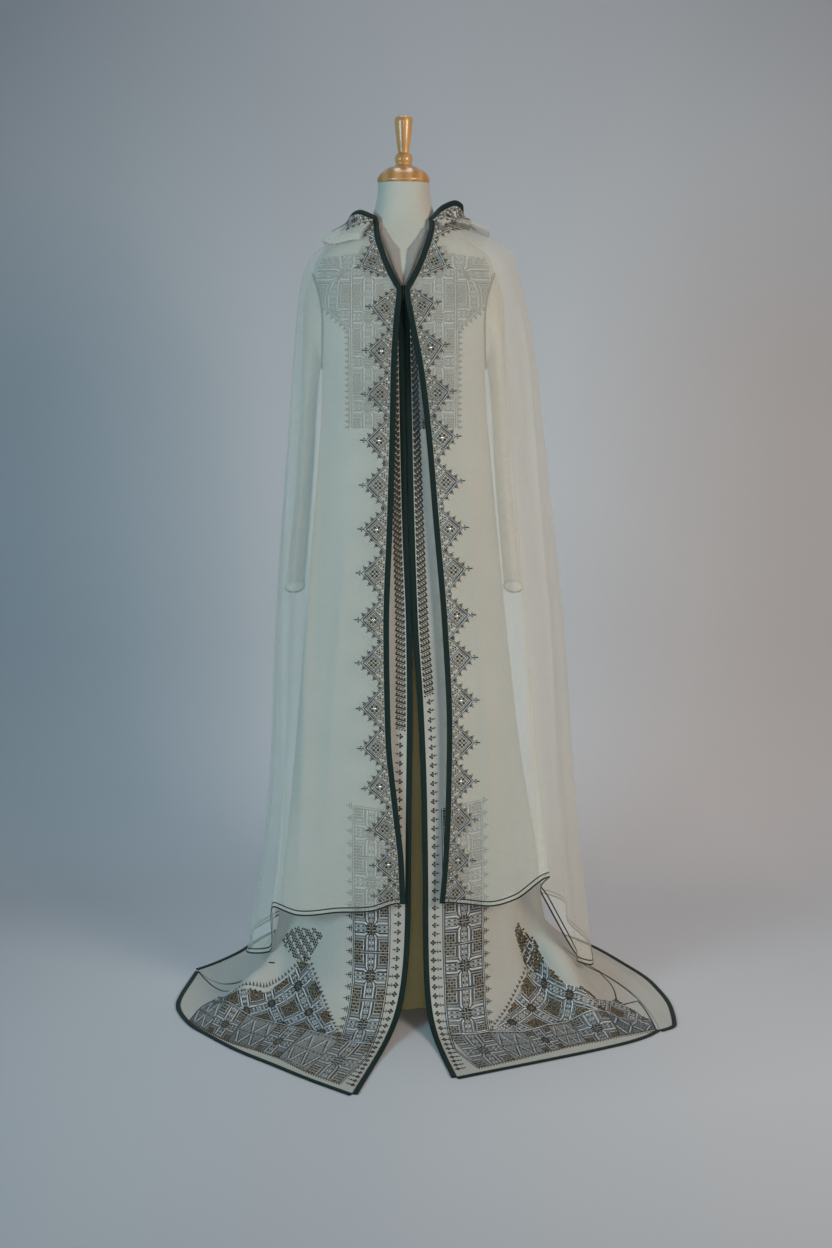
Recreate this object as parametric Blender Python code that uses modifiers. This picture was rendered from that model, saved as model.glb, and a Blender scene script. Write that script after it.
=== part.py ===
"""A two-layer caftan standing on a limbless dress form, in metres, +Z up, front towards -Y.

The inner robe is open down the front, with hanging sleeves and a hem that spreads over the
floor. A sheer hooded cape is worn over it. A plain underskirt shows in the robe's front gap
and hides the form's stand. "Left" and "right" are as seen from the front, so left is -X.
"""

import math
from collections import namedtuple

import bmesh
import bpy
import numpy as np
from mathutils import Vector

# Driving dimensions
TOTAL_HEIGHT = 1.650
NECK_TOP_Z = 1.532
TORSO_BOTTOM_Z = 0.700
POLE_RADIUS = 0.0125
BASE_RADIUS = 0.120
BASE_HEIGHT = 0.022
SECTION_POWER = 2.4
FORM_SEGMENTS = 28

CLOTH = 0.0012
CAPE_CLOTH = 0.0010
BRAID_WIDTH = 0.0095
BRAID_THICKNESS = 0.0026
HEM_CORD_WIDTH = 0.0080
SEAM_GAP = 0.0004
LAYER_GAP = 0.0034
SHOULDER_GAP = 0.0031
FLOOR_REST = 0.0004

KNEE_Z = 0.270
SIDE_ANGLE = 90.0
ARMHOLE_LOW_Z = 1.200
ARMHOLE_HIGH_Z = 1.368
ARMHOLE_SPREAD = 20.0
SLEEVE_LAP = 0.0040
SLEEVE_LAP_ANGLE = 1.8
SLEEVE_SEAM_GAP = 0.0007
SLEEVE_SEGMENTS = 12
SLEEVE_ROWS = 10
SLEEVE_BACKSET = 0.012
SLEEVE_BACKSET_RUN = 0.200

UNDERSKIRT_PLEATS = 14
UNDERSKIRT_PLEAT_DEPTH = 0.0035

FRONT_COLUMNS = 12
BACK_COLUMNS = 20
FLOOR_ROWS = 9
FOLD_GROWTH = 1.2
FLOOR_FOLD_SKEW = 1.1
HOOD_START_ANGLE = 45.0
HOOD_COLUMNS = 22
HOOD_ROWS_UP = 10
HOOD_CLEARANCE = 0.0095
HOOD_SEAM_DROP = 0.001
HOOD_SIGHT = 0.004

# A closed level section: half-widths left and right, depths in front and behind.
Section = namedtuple("Section", "z left right front back")

FORM_SECTIONS = (
    Section(0.700, 0.134, 0.134, 0.096, 0.098),
    Section(0.760, 0.146, 0.146, 0.105, 0.108),
    Section(0.820, 0.148, 0.148, 0.107, 0.111),
    Section(0.900, 0.134, 0.134, 0.097, 0.101),
    Section(0.980, 0.110, 0.110, 0.086, 0.086),
    Section(1.060, 0.114, 0.114, 0.092, 0.084),
    Section(1.140, 0.129, 0.129, 0.106, 0.088),
    Section(1.200, 0.139, 0.139, 0.113, 0.092),
    Section(1.260, 0.147, 0.147, 0.110, 0.096),
    Section(1.320, 0.153, 0.153, 0.099, 0.097),
    Section(1.370, 0.157, 0.157, 0.087, 0.091),
    Section(1.400, 0.152, 0.152, 0.077, 0.083),
    Section(1.420, 0.124, 0.124, 0.070, 0.077),
    Section(1.440, 0.093, 0.093, 0.063, 0.068),
    Section(1.455, 0.072, 0.072, 0.058, 0.061),
    Section(1.470, 0.059, 0.059, 0.054, 0.056),
    Section(1.490, 0.052, 0.052, 0.050, 0.051),
    Section(1.510, 0.048, 0.048, 0.047, 0.048),
    Section(1.532, 0.046, 0.046, 0.046, 0.046),
)

# The robe below the shoulders, where it hangs clear of the form.
ROBE_BODY_SECTIONS = (
    Section(0.270, 0.224, 0.240, 0.206, 0.200),
    Section(0.400, 0.212, 0.226, 0.197, 0.186),
    Section(0.550, 0.199, 0.209, 0.184, 0.170),
    Section(0.700, 0.187, 0.193, 0.171, 0.155),
    Section(0.900, 0.170, 0.173, 0.153, 0.136),
    Section(1.050, 0.157, 0.159, 0.139, 0.121),
    Section(1.140, 0.151, 0.151, 0.130, 0.112),
    Section(1.200, 0.149, 0.149, 0.122, 0.104),
    Section(1.260, 0.155, 0.155, 0.118, 0.105),
    Section(1.320, 0.160, 0.160, 0.107, 0.105),
    Section(1.370, 0.1635, 0.1635, 0.0945, 0.0985),
)

UNDERSKIRT_SECTIONS = (
    Section(0.000, 0.196, 0.196, 0.142, 0.156),
    Section(0.030, 0.184, 0.184, 0.133, 0.146),
    Section(0.300, 0.176, 0.176, 0.131, 0.140),
    Section(0.600, 0.166, 0.166, 0.125, 0.130),
    Section(0.760, 0.159, 0.159, 0.118, 0.121),
    Section(0.840, 0.155, 0.155, 0.114, 0.118),
    Section(0.920, 0.134, 0.134, 0.100, 0.102),
    Section(0.980, 0.1108, 0.1108, 0.0868, 0.0868),
)

# The cape's outline, left and right as seen from the front.
CAPE_SECTIONS = (
    Section(0.040, 0.305, 0.368, 0.236, 0.262),
    Section(0.180, 0.283, 0.352, 0.226, 0.242),
    Section(0.340, 0.260, 0.333, 0.216, 0.222),
    Section(0.500, 0.249, 0.317, 0.203, 0.203),
    Section(0.700, 0.242, 0.300, 0.187, 0.182),
    Section(0.900, 0.229, 0.277, 0.170, 0.163),
    Section(1.100, 0.213, 0.255, 0.154, 0.143),
    Section(1.200, 0.205, 0.245, 0.144, 0.130),
    Section(1.300, 0.196, 0.230, 0.126, 0.118),
    Section(1.360, 0.187, 0.214, 0.106, 0.108),
    Section(1.400, 0.170, 0.204, 0.090, 0.097),
    Section(1.425, 0.136, 0.174, 0.080, 0.088),
    Section(1.440, 0.107, 0.136, 0.073, 0.081),
    Section(1.455, 0.0785, 0.092, 0.066, 0.073),
    Section(1.470, 0.0640, 0.0665, 0.0605, 0.0640),
    Section(1.485, 0.0600, 0.0620, 0.0575, 0.0600),
)

# The two necklines, by direction from the front.
NeckPoint = namedtuple("NeckPoint", "angle cape_z robe_z")

NECKLINE = (
    NeckPoint(0.0, 1.340, 1.346),
    NeckPoint(12.0, 1.374, 1.384),
    NeckPoint(25.0, 1.412, 1.418),
    NeckPoint(40.0, 1.448, 1.446),
    NeckPoint(55.0, 1.468, 1.462),
    NeckPoint(75.0, 1.477, 1.470),
    NeckPoint(90.0, 1.479, 1.472),
    NeckPoint(130.0, 1.477, 1.470),
    NeckPoint(180.0, 1.474, 1.466),
)

# Lines down the cape's folds: their direction, how far they stand out (or in) at the
# hem, the height at which they begin, and the height of the hem there.
FoldLine = namedtuple("FoldLine", "angle depth start_z hem_z")

CAPE_LINES = (
    FoldLine(-180.0, 0.000, 1.25, 0.150),
    FoldLine(-166.0, 0.020, 1.25, 0.145),
    FoldLine(-150.0, -0.018, 1.25, 0.135),
    FoldLine(-134.0, 0.022, 1.28, 0.115),
    FoldLine(-118.0, -0.016, 1.28, 0.092),
    FoldLine(-104.0, 0.014, 1.25, 0.070),
    FoldLine(-92.0, 0.000, 1.15, 0.064),
    FoldLine(-80.0, 0.010, 1.15, 0.078),
    FoldLine(-67.0, -0.018, 1.20, 0.100),
    FoldLine(-54.0, 0.026, 1.24, 0.212),
    FoldLine(-45.0, 0.014, 1.15, 0.203),
    FoldLine(-30.0, -0.006, 0.70, 0.212),
    FoldLine(-14.0, 0.000, 0.60, 0.220),
    FoldLine(0.0, 0.000, 0.60, 0.236),
    FoldLine(16.0, 0.000, 0.60, 0.230),
    FoldLine(32.0, -0.010, 0.90, 0.224),
    FoldLine(45.0, 0.010, 1.10, 0.236),
    FoldLine(54.0, 0.032, 1.28, 0.276),
    FoldLine(61.0, -0.024, 1.28, 0.226),
    FoldLine(69.0, -0.002, 1.20, 0.104),
    FoldLine(77.0, -0.020, 1.20, 0.068),
    FoldLine(85.0, 0.002, 1.20, 0.046),
    FoldLine(94.0, 0.002, 1.20, 0.062),
    FoldLine(105.0, -0.020, 1.25, 0.086),
    FoldLine(117.0, 0.016, 1.28, 0.108),
    FoldLine(132.0, -0.020, 1.28, 0.125),
    FoldLine(148.0, 0.020, 1.28, 0.138),
    FoldLine(164.0, -0.014, 1.25, 0.146),
    FoldLine(180.0, 0.000, 1.25, 0.150),
)

ROBE_LINES = (
    FoldLine(-180.0, 0.000, 1.05, KNEE_Z),
    FoldLine(-162.0, 0.010, 1.05, KNEE_Z),
    FoldLine(-142.0, -0.010, 1.05, KNEE_Z),
    FoldLine(-120.0, 0.010, 1.05, KNEE_Z),
    FoldLine(-90.0, 0.000, 1.05, KNEE_Z),
    FoldLine(-70.0, 0.010, 0.95, KNEE_Z),
    FoldLine(-45.0, -0.008, 0.95, KNEE_Z),
    FoldLine(-20.0, 0.000, 0.95, KNEE_Z),
    FoldLine(20.0, 0.000, 0.95, KNEE_Z),
    FoldLine(48.0, -0.010, 0.95, KNEE_Z),
    FoldLine(72.0, 0.012, 0.95, KNEE_Z),
    FoldLine(90.0, 0.000, 1.05, KNEE_Z),
    FoldLine(120.0, 0.010, 1.05, KNEE_Z),
    FoldLine(143.0, -0.010, 1.05, KNEE_Z),
    FoldLine(164.0, 0.010, 1.05, KNEE_Z),
    FoldLine(180.0, 0.000, 1.05, KNEE_Z),
)

# Shares of a panel's height at which its rows of cloth lie, closest over the shoulders.
CAPE_ROWS = (0.0, 0.09, 0.19, 0.29, 0.39, 0.49, 0.59, 0.68, 0.76, 0.82, 0.87, 0.91, 0.935,
             0.955, 0.97, 0.985, 1.0)
ROBE_ROWS = (0.0, 0.108, 0.217, 0.325, 0.433, 0.542, 0.625, 0.70, 0.767, 0.833, 0.883, 0.921,
             0.946, 0.9625, 0.975, 0.9875, 1.0)
UNDERSKIRT_ROWS = (0.0, 0.03, 0.20, 0.42, 0.62, 0.76, 0.85, 0.92, 1.0)
TORSO_ROWS = (0.700, 0.760, 0.820, 0.900, 0.980, 1.060, 1.140, 1.200, 1.260, 1.320, 1.370, 1.390,
              1.405, 1.420, 1.432, 1.444, 1.455, 1.465, 1.477, 1.490, 1.510, 1.532)

# The middle line of each front braid of the cape, across the front.
EdgePoint = namedtuple("EdgePoint", "z left right")

CAPE_BRAID_LINES = (
    EdgePoint(0.180, 0.0000, 0.0610),
    EdgePoint(0.308, -0.0040, 0.0720),
    EdgePoint(0.414, -0.0150, 0.0760),
    EdgePoint(0.541, -0.0270, 0.0770),
    EdgePoint(0.737, -0.0300, 0.0690),
    EdgePoint(0.940, -0.0230, 0.0540),
    EdgePoint(1.096, -0.0185, 0.0420),
    EdgePoint(1.209, -0.0160, 0.0290),
    EdgePoint(1.290, -0.0110, 0.0140),
    EdgePoint(1.340, -0.0062, 0.0062),
    EdgePoint(1.400, -0.0062, 0.0062),
)

# The free edges of the robe's front braids. They meet down to the opening.
ROBE_BRAID_EDGES = (
    EdgePoint(0.000, 0.0000, 0.0390),
    EdgePoint(0.106, 0.0060, 0.0356),
    EdgePoint(0.222, 0.0124, 0.0344),
    EdgePoint(0.430, 0.0148, 0.0313),
    EdgePoint(0.596, 0.0165, 0.0250),
    EdgePoint(0.735, 0.0150, 0.0160),
    EdgePoint(0.911, 0.0086, 0.0096),
    EdgePoint(1.124, 0.0036, 0.0046),
    EdgePoint(1.340, -0.0005, 0.0005),
    EdgePoint(1.392, -0.0040, 0.0040),
)

# How a robe panel runs from the knee to the floor: for each share of its width, where it
# is pulled to on the floor, where its hem lies, and how high folds lift it on the way.
Spoke = namedtuple("Spoke", "share pull_x pull_y hem_x hem_y lift")

ROBE_RIGHT_SPOKES = (
    Spoke(0.00, 0.050, -0.225, 0.093, -0.445, 0.000),
    Spoke(0.18, 0.100, -0.240, 0.165, -0.412, 0.000),
    Spoke(0.36, 0.165, -0.225, 0.240, -0.378, 0.003),
    Spoke(0.54, 0.222, -0.200, 0.318, -0.342, 0.000),
    Spoke(0.68, 0.262, -0.175, 0.372, -0.315, 0.000),
    Spoke(0.78, 0.318, -0.124, 0.408, -0.295, 0.066),
    Spoke(0.88, 0.385, 0.030, 0.442, -0.270, 0.010),
    Spoke(1.00, 0.450, 0.130, 0.465, -0.245, 0.000),
)

ROBE_LEFT_SPOKES = (
    Spoke(0.00, -0.022, -0.235, -0.085, -0.510, 0.000),
    Spoke(0.18, -0.085, -0.245, -0.158, -0.452, 0.000),
    Spoke(0.36, -0.150, -0.230, -0.226, -0.392, 0.003),
    Spoke(0.54, -0.210, -0.205, -0.296, -0.330, 0.000),
    Spoke(0.68, -0.260, -0.180, -0.352, -0.268, 0.004),
    Spoke(0.79, -0.305, -0.165, -0.398, -0.208, 0.034),
    Spoke(0.89, -0.330, -0.155, -0.428, -0.112, 0.006),
    Spoke(1.00, -0.330, -0.130, -0.412, 0.040, 0.000),
)

ROBE_BACK_SPOKES = (
    Spoke(0.00, 0.455, 0.137, 0.471, -0.246, 0.000),
    Spoke(0.06, 0.440, 0.152, 0.497, -0.222, 0.006),
    Spoke(0.12, 0.415, 0.170, 0.502, -0.140, 0.012),
    Spoke(0.20, 0.370, 0.200, 0.484, -0.025, 0.000),
    Spoke(0.28, 0.325, 0.220, 0.438, 0.085, 0.012),
    Spoke(0.38, 0.235, 0.260, 0.330, 0.250, 0.018),
    Spoke(0.50, 0.000, 0.300, 0.000, 0.400, 0.000),
    Spoke(0.64, -0.220, 0.245, -0.265, 0.280, 0.018),
    Spoke(0.78, -0.300, 0.165, -0.345, 0.135, 0.000),
    Spoke(0.90, -0.330, 0.020, -0.392, 0.072, 0.010),
    Spoke(1.00, -0.334, -0.120, -0.414, 0.050, 0.000),
)

# Sections of a hanging sleeve, from near the armhole to the cuff. The tilt turns the ring
# from upright, as at the armhole, to level.
SleeveRing = namedtuple("SleeveRing", "x z tilt half_across half_depth")

SLEEVE_RINGS = (
    SleeveRing(0.1640, 1.278, 8.0, 0.0780, 0.054),
    SleeveRing(0.1705, 1.252, 12.0, 0.0640, 0.055),
    SleeveRing(0.1745, 1.190, 16.0, 0.0440, 0.058),
    SleeveRing(0.1790, 1.110, 40.0, 0.0190, 0.062),
    SleeveRing(0.1870, 0.990, 80.0, 0.0140, 0.066),
    SleeveRing(0.1975, 0.885, 86.0, 0.0150, 0.069),
    SleeveRing(0.2080, 0.785, 86.0, 0.0165, 0.071),
)

# The hood lies back. For each direction round the neck: how far below the neckline its
# fold lies, how thick the folded bag is, and where its rim is.
HoodRow = namedtuple("HoodRow", "angle fold_drop bag rim_radius rim_z")

HOOD_ROWS = (
    HoodRow(45.0, 0.012, 0.003, 0.0745, 1.4630),
    HoodRow(65.0, 0.022, 0.004, 0.0810, 1.4820),
    HoodRow(84.0, 0.036, 0.008, 0.0950, 1.4910),
    HoodRow(98.0, 0.044, 0.012, 0.1080, 1.4830),
    HoodRow(112.0, 0.056, 0.016, 0.1150, 1.4710),
    HoodRow(130.0, 0.095, 0.022, 0.1210, 1.4600),
    HoodRow(155.0, 0.190, 0.028, 0.1300, 1.4480),
    HoodRow(180.0, 0.245, 0.030, 0.1330, 1.4440),
    HoodRow(205.0, 0.190, 0.028, 0.1300, 1.4450),
    HoodRow(232.0, 0.095, 0.018, 0.1180, 1.4540),
    HoodRow(255.0, 0.062, 0.009, 0.1040, 1.4650),
    HoodRow(275.0, 0.058, 0.006, 0.0950, 1.4720),
    HoodRow(294.0, 0.060, 0.005, 0.0910, 1.4745),
    HoodRow(315.0, 0.034, 0.003, 0.0765, 1.4640),
)

# The hood's way from its rim down round the bag's fold, as shares of the drop and of the bag.
HoodStop = namedtuple("HoodStop", "drop bag")

HOOD_STOPS = (
    HoodStop(0.60, 1.10),
    HoodStop(0.94, 0.92),
    HoodStop(1.00, 0.50),
    HoodStop(0.94, 0.12),
    HoodStop(0.50, 0.00),
)

# The turned knob on the neck, from its top to its underside.
TurnPoint = namedtuple("TurnPoint", "radius z")

KNOB_PROFILE = (
    TurnPoint(0.0000, 1.6500),
    TurnPoint(0.0120, 1.6490),
    TurnPoint(0.0162, 1.6455),
    TurnPoint(0.0164, 1.6400),
    TurnPoint(0.0102, 1.5860),
    TurnPoint(0.0150, 1.5815),
    TurnPoint(0.0164, 1.5740),
    TurnPoint(0.0150, 1.5660),
    TurnPoint(0.0170, 1.5620),
    TurnPoint(0.0270, 1.5580),
    TurnPoint(0.0400, 1.5500),
    TurnPoint(0.0478, 1.5420),
    TurnPoint(0.0490, 1.5360),
    TurnPoint(0.0470, 1.5324),
    TurnPoint(0.0000, 1.5324),
)

BASE_PROFILE = (
    TurnPoint(0.0000, BASE_HEIGHT),
    TurnPoint(0.0300, BASE_HEIGHT),
    TurnPoint(0.0420, 0.0180),
    TurnPoint(0.1140, 0.0110),
    TurnPoint(BASE_RADIUS, 0.0060),
    TurnPoint(BASE_RADIUS, 0.0000),
    TurnPoint(0.0000, 0.0000),
)


# Curves and sections


def smooth(xs, ys, x):
    """The value at x of a smooth curve through the points, held level past its ends."""
    xs = np.asarray(xs, float)
    ys = np.asarray(ys, float)
    steps = np.diff(xs)
    slopes = np.diff(ys) / steps
    tangents = np.empty(len(xs))
    tangents[0], tangents[-1] = slopes[0], slopes[-1]
    for k in range(1, len(xs) - 1):
        before, after = slopes[k - 1], slopes[k]
        if before * after <= 0:
            tangents[k] = 0.0
            continue
        near, far = 2 * steps[k] + steps[k - 1], steps[k] + 2 * steps[k - 1]
        tangents[k] = (near + far) / (near / before + far / after)
    x = min(max(x, xs[0]), xs[-1])
    k = min(int(np.searchsorted(xs, x, side="right")) - 1, len(steps) - 1)
    t = (x - xs[k]) / steps[k]
    return float(
        ys[k] * (1 + 2 * t) * (1 - t) ** 2
        + tangents[k] * steps[k] * t * (1 - t) ** 2
        + ys[k + 1] * t * t * (3 - 2 * t)
        + tangents[k + 1] * steps[k] * t * t * (t - 1)
    )


def column(rows, name):
    """One named column of a table."""
    return [getattr(row, name) for row in rows]


def look_up(rows, key, name, x):
    """A table's column read at x along its key column."""
    return smooth(column(rows, key), column(rows, name), x)


def mix(a, b, share):
    """The value a given share of the way from a to b."""
    return a + (b - a) * share


def section_radius(rows, angle, z):
    """Distance from the axis of a level section, in a direction turned from the front."""
    turn = math.radians(angle)
    across, ahead = math.sin(turn), math.cos(turn)
    width = look_up(rows, "z", "right" if across >= 0 else "left", z)
    depth = look_up(rows, "z", "front" if ahead >= 0 else "back", z)
    total = (abs(across) / width) ** SECTION_POWER + (abs(ahead) / depth) ** SECTION_POWER
    return total ** (-1 / SECTION_POWER)


def around(angle, radius, z):
    """A point in a direction turned from the front towards +X."""
    turn = math.radians(angle)
    return Vector((radius * math.sin(turn), -radius * math.cos(turn), z))


def fold_offset(lines, angle, z):
    """How far the folds push the cloth out at a place."""
    depth = look_up(lines, "angle", "depth", angle)
    start_z = look_up(lines, "angle", "start_z", angle)
    hem_z = look_up(lines, "angle", "hem_z", angle)
    grown = max(0.0, (start_z - z) / (start_z - hem_z))
    return depth * grown**FOLD_GROWTH


def row_share(rows, v):
    """The share of a panel's height at its row coordinate v, from 0 to 1."""
    place = min(max(v, 0.0), 1.0) * (len(rows) - 1)
    k = min(int(place), len(rows) - 2)
    return mix(rows[k], rows[k + 1], place - k)


def grown_sections(rows, gap, lowest_z):
    """Sections above a height, each grown by a gap."""
    return tuple(
        Section(r.z, r.left + gap, r.right + gap, r.front + gap, r.back + gap)
        for r in rows
        if r.z >= lowest_z
    )


ROBE_SECTIONS = ROBE_BODY_SECTIONS + grown_sections(FORM_SECTIONS, SHOULDER_GAP, 1.40)


# Meshes


def reset_scene():
    """Clears the scene and makes the collection for the parts."""
    for obj in list(bpy.data.objects):
        bpy.data.objects.remove(obj)
    parts = bpy.data.collections.new("caftan_on_form")
    bpy.context.scene.collection.children.link(parts)
    return parts


def material(name, colour, roughness, metallic=0.0, alpha=1.0):
    """A plain finish for one kind of piece."""
    made = bpy.data.materials.new(name)
    made.use_nodes = True
    shader = made.node_tree.nodes["Principled BSDF"]
    shader.inputs["Base Color"].default_value = (*colour, 1.0)
    shader.inputs["Roughness"].default_value = roughness
    shader.inputs["Metallic"].default_value = metallic
    shader.inputs["Alpha"].default_value = alpha
    return made


def add_object(parts, name, bm, finish):
    """Makes the object of a sub-part and puts it with the others."""
    mesh = bpy.data.meshes.new(name)
    bm.to_mesh(mesh)
    bm.free()
    mesh.materials.append(finish)
    mesh.shade_smooth()
    made = bpy.data.objects.new(name, mesh)
    parts.objects.link(made)
    return made


def grid_mesh(surface, columns, rows, closed=False):
    """A grid bent onto surface(u, v), with u and v from 0 to 1."""
    bm = bmesh.new()
    bmesh.ops.create_grid(bm, x_segments=columns, y_segments=rows, size=1.0)
    for vertex in bm.verts:
        u = round((vertex.co.x + 1) / 2 * columns) / columns
        v = round((vertex.co.y + 1) / 2 * rows) / rows
        vertex.co = surface(u, v)
    if closed:
        bmesh.ops.remove_doubles(bm, verts=bm.verts, dist=1e-6)
    return bm


def add_cloth(parts, name, surface, columns, rows, thickness, finish, closed=False, side=1.0):
    """A cloth piece: a sheet on surface(u, v) with a wall of even thickness."""
    made = add_object(parts, name, grid_mesh(surface, columns, rows, closed), finish)
    wall = made.modifiers.new("wall", "SOLIDIFY")
    wall.thickness = thickness
    wall.offset = side
    return made


def add_turned(parts, name, profile, steps, finish):
    """A turned piece: its profile at +X, from top to bottom, screwed round the axis."""
    bm = bmesh.new()
    points = [bm.verts.new((p.radius, 0.0, p.z)) for p in profile]
    for upper, lower in zip(points, points[1:]):
        bm.edges.new((upper, lower))
    made = add_object(parts, name, bm, finish)
    turn = made.modifiers.new("turn", "SCREW")
    turn.steps = steps
    turn.render_steps = steps
    turn.use_merge_vertices = True
    turn.merge_threshold = 1e-5
    return made


def trim_strip(surface, cells, path, gap, width, side):
    """A strip beside a panel's edge, made from the panel's own points moved off it.

    cells counts the panel's columns and rows, and path lists the u and v of the edge's
    points. The strip's u runs along the edge, and its v across.
    """
    step_u, step_v = 1 / cells[0], 1 / cells[1]
    edge = [surface(*place) for place in path]
    aways = []
    for k, (u, v) in enumerate(path):
        along = edge[min(k + 1, len(edge) - 1)] - edge[max(k - 1, 0)]
        over = surface(min(u + step_u, 1.0), v) - surface(max(u - step_u, 0.0), v)
        up = surface(u, min(v + step_v, 1.0)) - surface(u, max(v - step_v, 0.0))
        aways.append(along.cross(over.cross(up)).normalized() * side)

    def strip(u, v):
        k = round(u * (len(path) - 1))
        point = edge[k] + aways[k] * mix(gap, gap + width, v)
        point.z = max(point.z, FLOOR_REST)
        return point

    return strip


# The dress form


def torso_surface(u, v):
    """The torso's skin: u goes round it and v goes up it."""
    z = row_share(TORSO_ROWS, v)
    angle = mix(-180.0, 180.0, u)
    return around(angle, section_radius(FORM_SECTIONS, angle, z), z)


def build_form(parts, finishes):
    """The torso with its neck, the turned knob, the pole and the base."""
    bm = grid_mesh(torso_surface, FORM_SEGMENTS, len(TORSO_ROWS) - 1, closed=True)
    bmesh.ops.holes_fill(bm, edges=[e for e in bm.edges if e.is_boundary])
    add_object(parts, "form_torso", bm, finishes["form_cover"])
    add_turned(parts, "form_knob", KNOB_PROFILE, 24, finishes["form_wood"])
    add_turned(parts, "form_base", BASE_PROFILE, 32, finishes["form_metal"])

    bm = bmesh.new()
    low, high = BASE_HEIGHT + SEAM_GAP, TORSO_BOTTOM_Z - SEAM_GAP
    bmesh.ops.create_cone(
        bm, cap_ends=True, segments=16, radius1=POLE_RADIUS, radius2=POLE_RADIUS, depth=high - low
    )
    bmesh.ops.translate(bm, verts=bm.verts, vec=(0.0, 0.0, (low + high) / 2))
    add_object(parts, "form_pole", bm, finishes["form_metal"])


# The underskirt


def underskirt_surface(u, v):
    """The underskirt's inner face, with even soft pleats that fade out at the hips."""
    angle = mix(-180.0, 180.0, u)
    z = mix(FLOOR_REST, UNDERSKIRT_SECTIONS[-1].z, row_share(UNDERSKIRT_ROWS, v))
    fade = max(0.0, 1 - z / TORSO_BOTTOM_Z)
    pleat = UNDERSKIRT_PLEAT_DEPTH * fade * (1 + math.cos(math.radians(angle * UNDERSKIRT_PLEATS)))
    return around(angle, section_radius(UNDERSKIRT_SECTIONS, angle, z) + pleat, z)


# The robe


def armhole_spread(z, extra=0.0):
    """How far, in degrees, the armhole's edges lie to either side of the side seam."""
    middle = (ARMHOLE_LOW_Z + ARMHOLE_HIGH_Z) / 2
    half = (ARMHOLE_HIGH_Z - ARMHOLE_LOW_Z) / 2 + extra
    inside = 1 - ((z - middle) / half) ** 2
    return ARMHOLE_SPREAD * math.sqrt(max(0.0, inside))


def robe_point(angle, z):
    """A point of the robe's inner face above the knee."""
    radius = section_radius(ROBE_SECTIONS, angle, z)
    return around(angle, radius + fold_offset(ROBE_LINES, angle, z), z)


def floor_run(spokes, share, knee, down):
    """A point on the way from the knee to the hem: down is 0 at the knee and 1 at the hem."""
    pull_x, pull_y, hem_x, hem_y, lift = (
        look_up(spokes, "share", name, share) for name in Spoke._fields[1:]
    )
    up = 1 - down
    near, pull, far = up**3 + 3 * up * up * down, 3 * up * down * down, down**3
    z = FLOOR_REST + up**3 * (knee.z - FLOOR_REST)
    z += lift * math.sin(math.pi * down**FLOOR_FOLD_SKEW) ** 2
    return Vector(
        (near * knee.x + pull * pull_x + far * hem_x, near * knee.y + pull * pull_y + far * hem_y, z)
    )


ROBE_ROW_COUNT = FLOOR_ROWS + len(ROBE_ROWS) - 1
FLOOR_SHARE = FLOOR_ROWS / ROBE_ROW_COUNT


def robe_front_surface(sign):
    """A front of the robe, as surface(u, v): u from the front edge to the side seam."""
    spokes = ROBE_RIGHT_SPOKES if sign > 0 else ROBE_LEFT_SPOKES

    def edge_angle(z):
        free = look_up(ROBE_BRAID_EDGES, "z", "right" if sign > 0 else "left", z)
        off = free + sign * (BRAID_WIDTH + SEAM_GAP)
        return math.degrees(math.asin(off / section_radius(ROBE_SECTIONS, 0.0, z)))

    def hanging(share, rise):
        neck_z = look_up(NECKLINE, "angle", "robe_z", SIDE_ANGLE * share)
        z = mix(KNEE_Z, neck_z, row_share(ROBE_ROWS, rise))
        seam = math.degrees(SEAM_GAP / 2 / section_radius(ROBE_SECTIONS, SIDE_ANGLE, z))
        side = SIDE_ANGLE - armhole_spread(z) - seam
        return robe_point(mix(edge_angle(z), sign * side, share), z)

    def surface(u, v):
        share = u if sign > 0 else 1 - u
        if v >= FLOOR_SHARE:
            return hanging(share, (v - FLOOR_SHARE) / (1 - FLOOR_SHARE))
        return floor_run(spokes, share, hanging(share, 0.0), 1 - v / FLOOR_SHARE)

    return surface


def robe_back_surface(u, v):
    """The robe's back in one piece, from the right side seam round to the left one."""

    def hanging(share, rise):
        nominal = mix(SIDE_ANGLE, 360.0 - SIDE_ANGLE, share)
        neck_z = look_up(NECKLINE, "angle", "robe_z", min(nominal, 360.0 - nominal))
        z = mix(KNEE_Z, neck_z, row_share(ROBE_ROWS, rise))
        seam = math.degrees(SEAM_GAP / 2 / section_radius(ROBE_SECTIONS, SIDE_ANGLE, z))
        start = SIDE_ANGLE + armhole_spread(z) + seam
        angle = mix(start, 360.0 - start, share)
        return robe_point(angle if angle <= 180.0 else angle - 360.0, z)

    if v >= FLOOR_SHARE:
        return hanging(u, (v - FLOOR_SHARE) / (1 - FLOOR_SHARE))
    return floor_run(ROBE_BACK_SPOKES, u, hanging(u, 0.0), 1 - v / FLOOR_SHARE)


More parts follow.
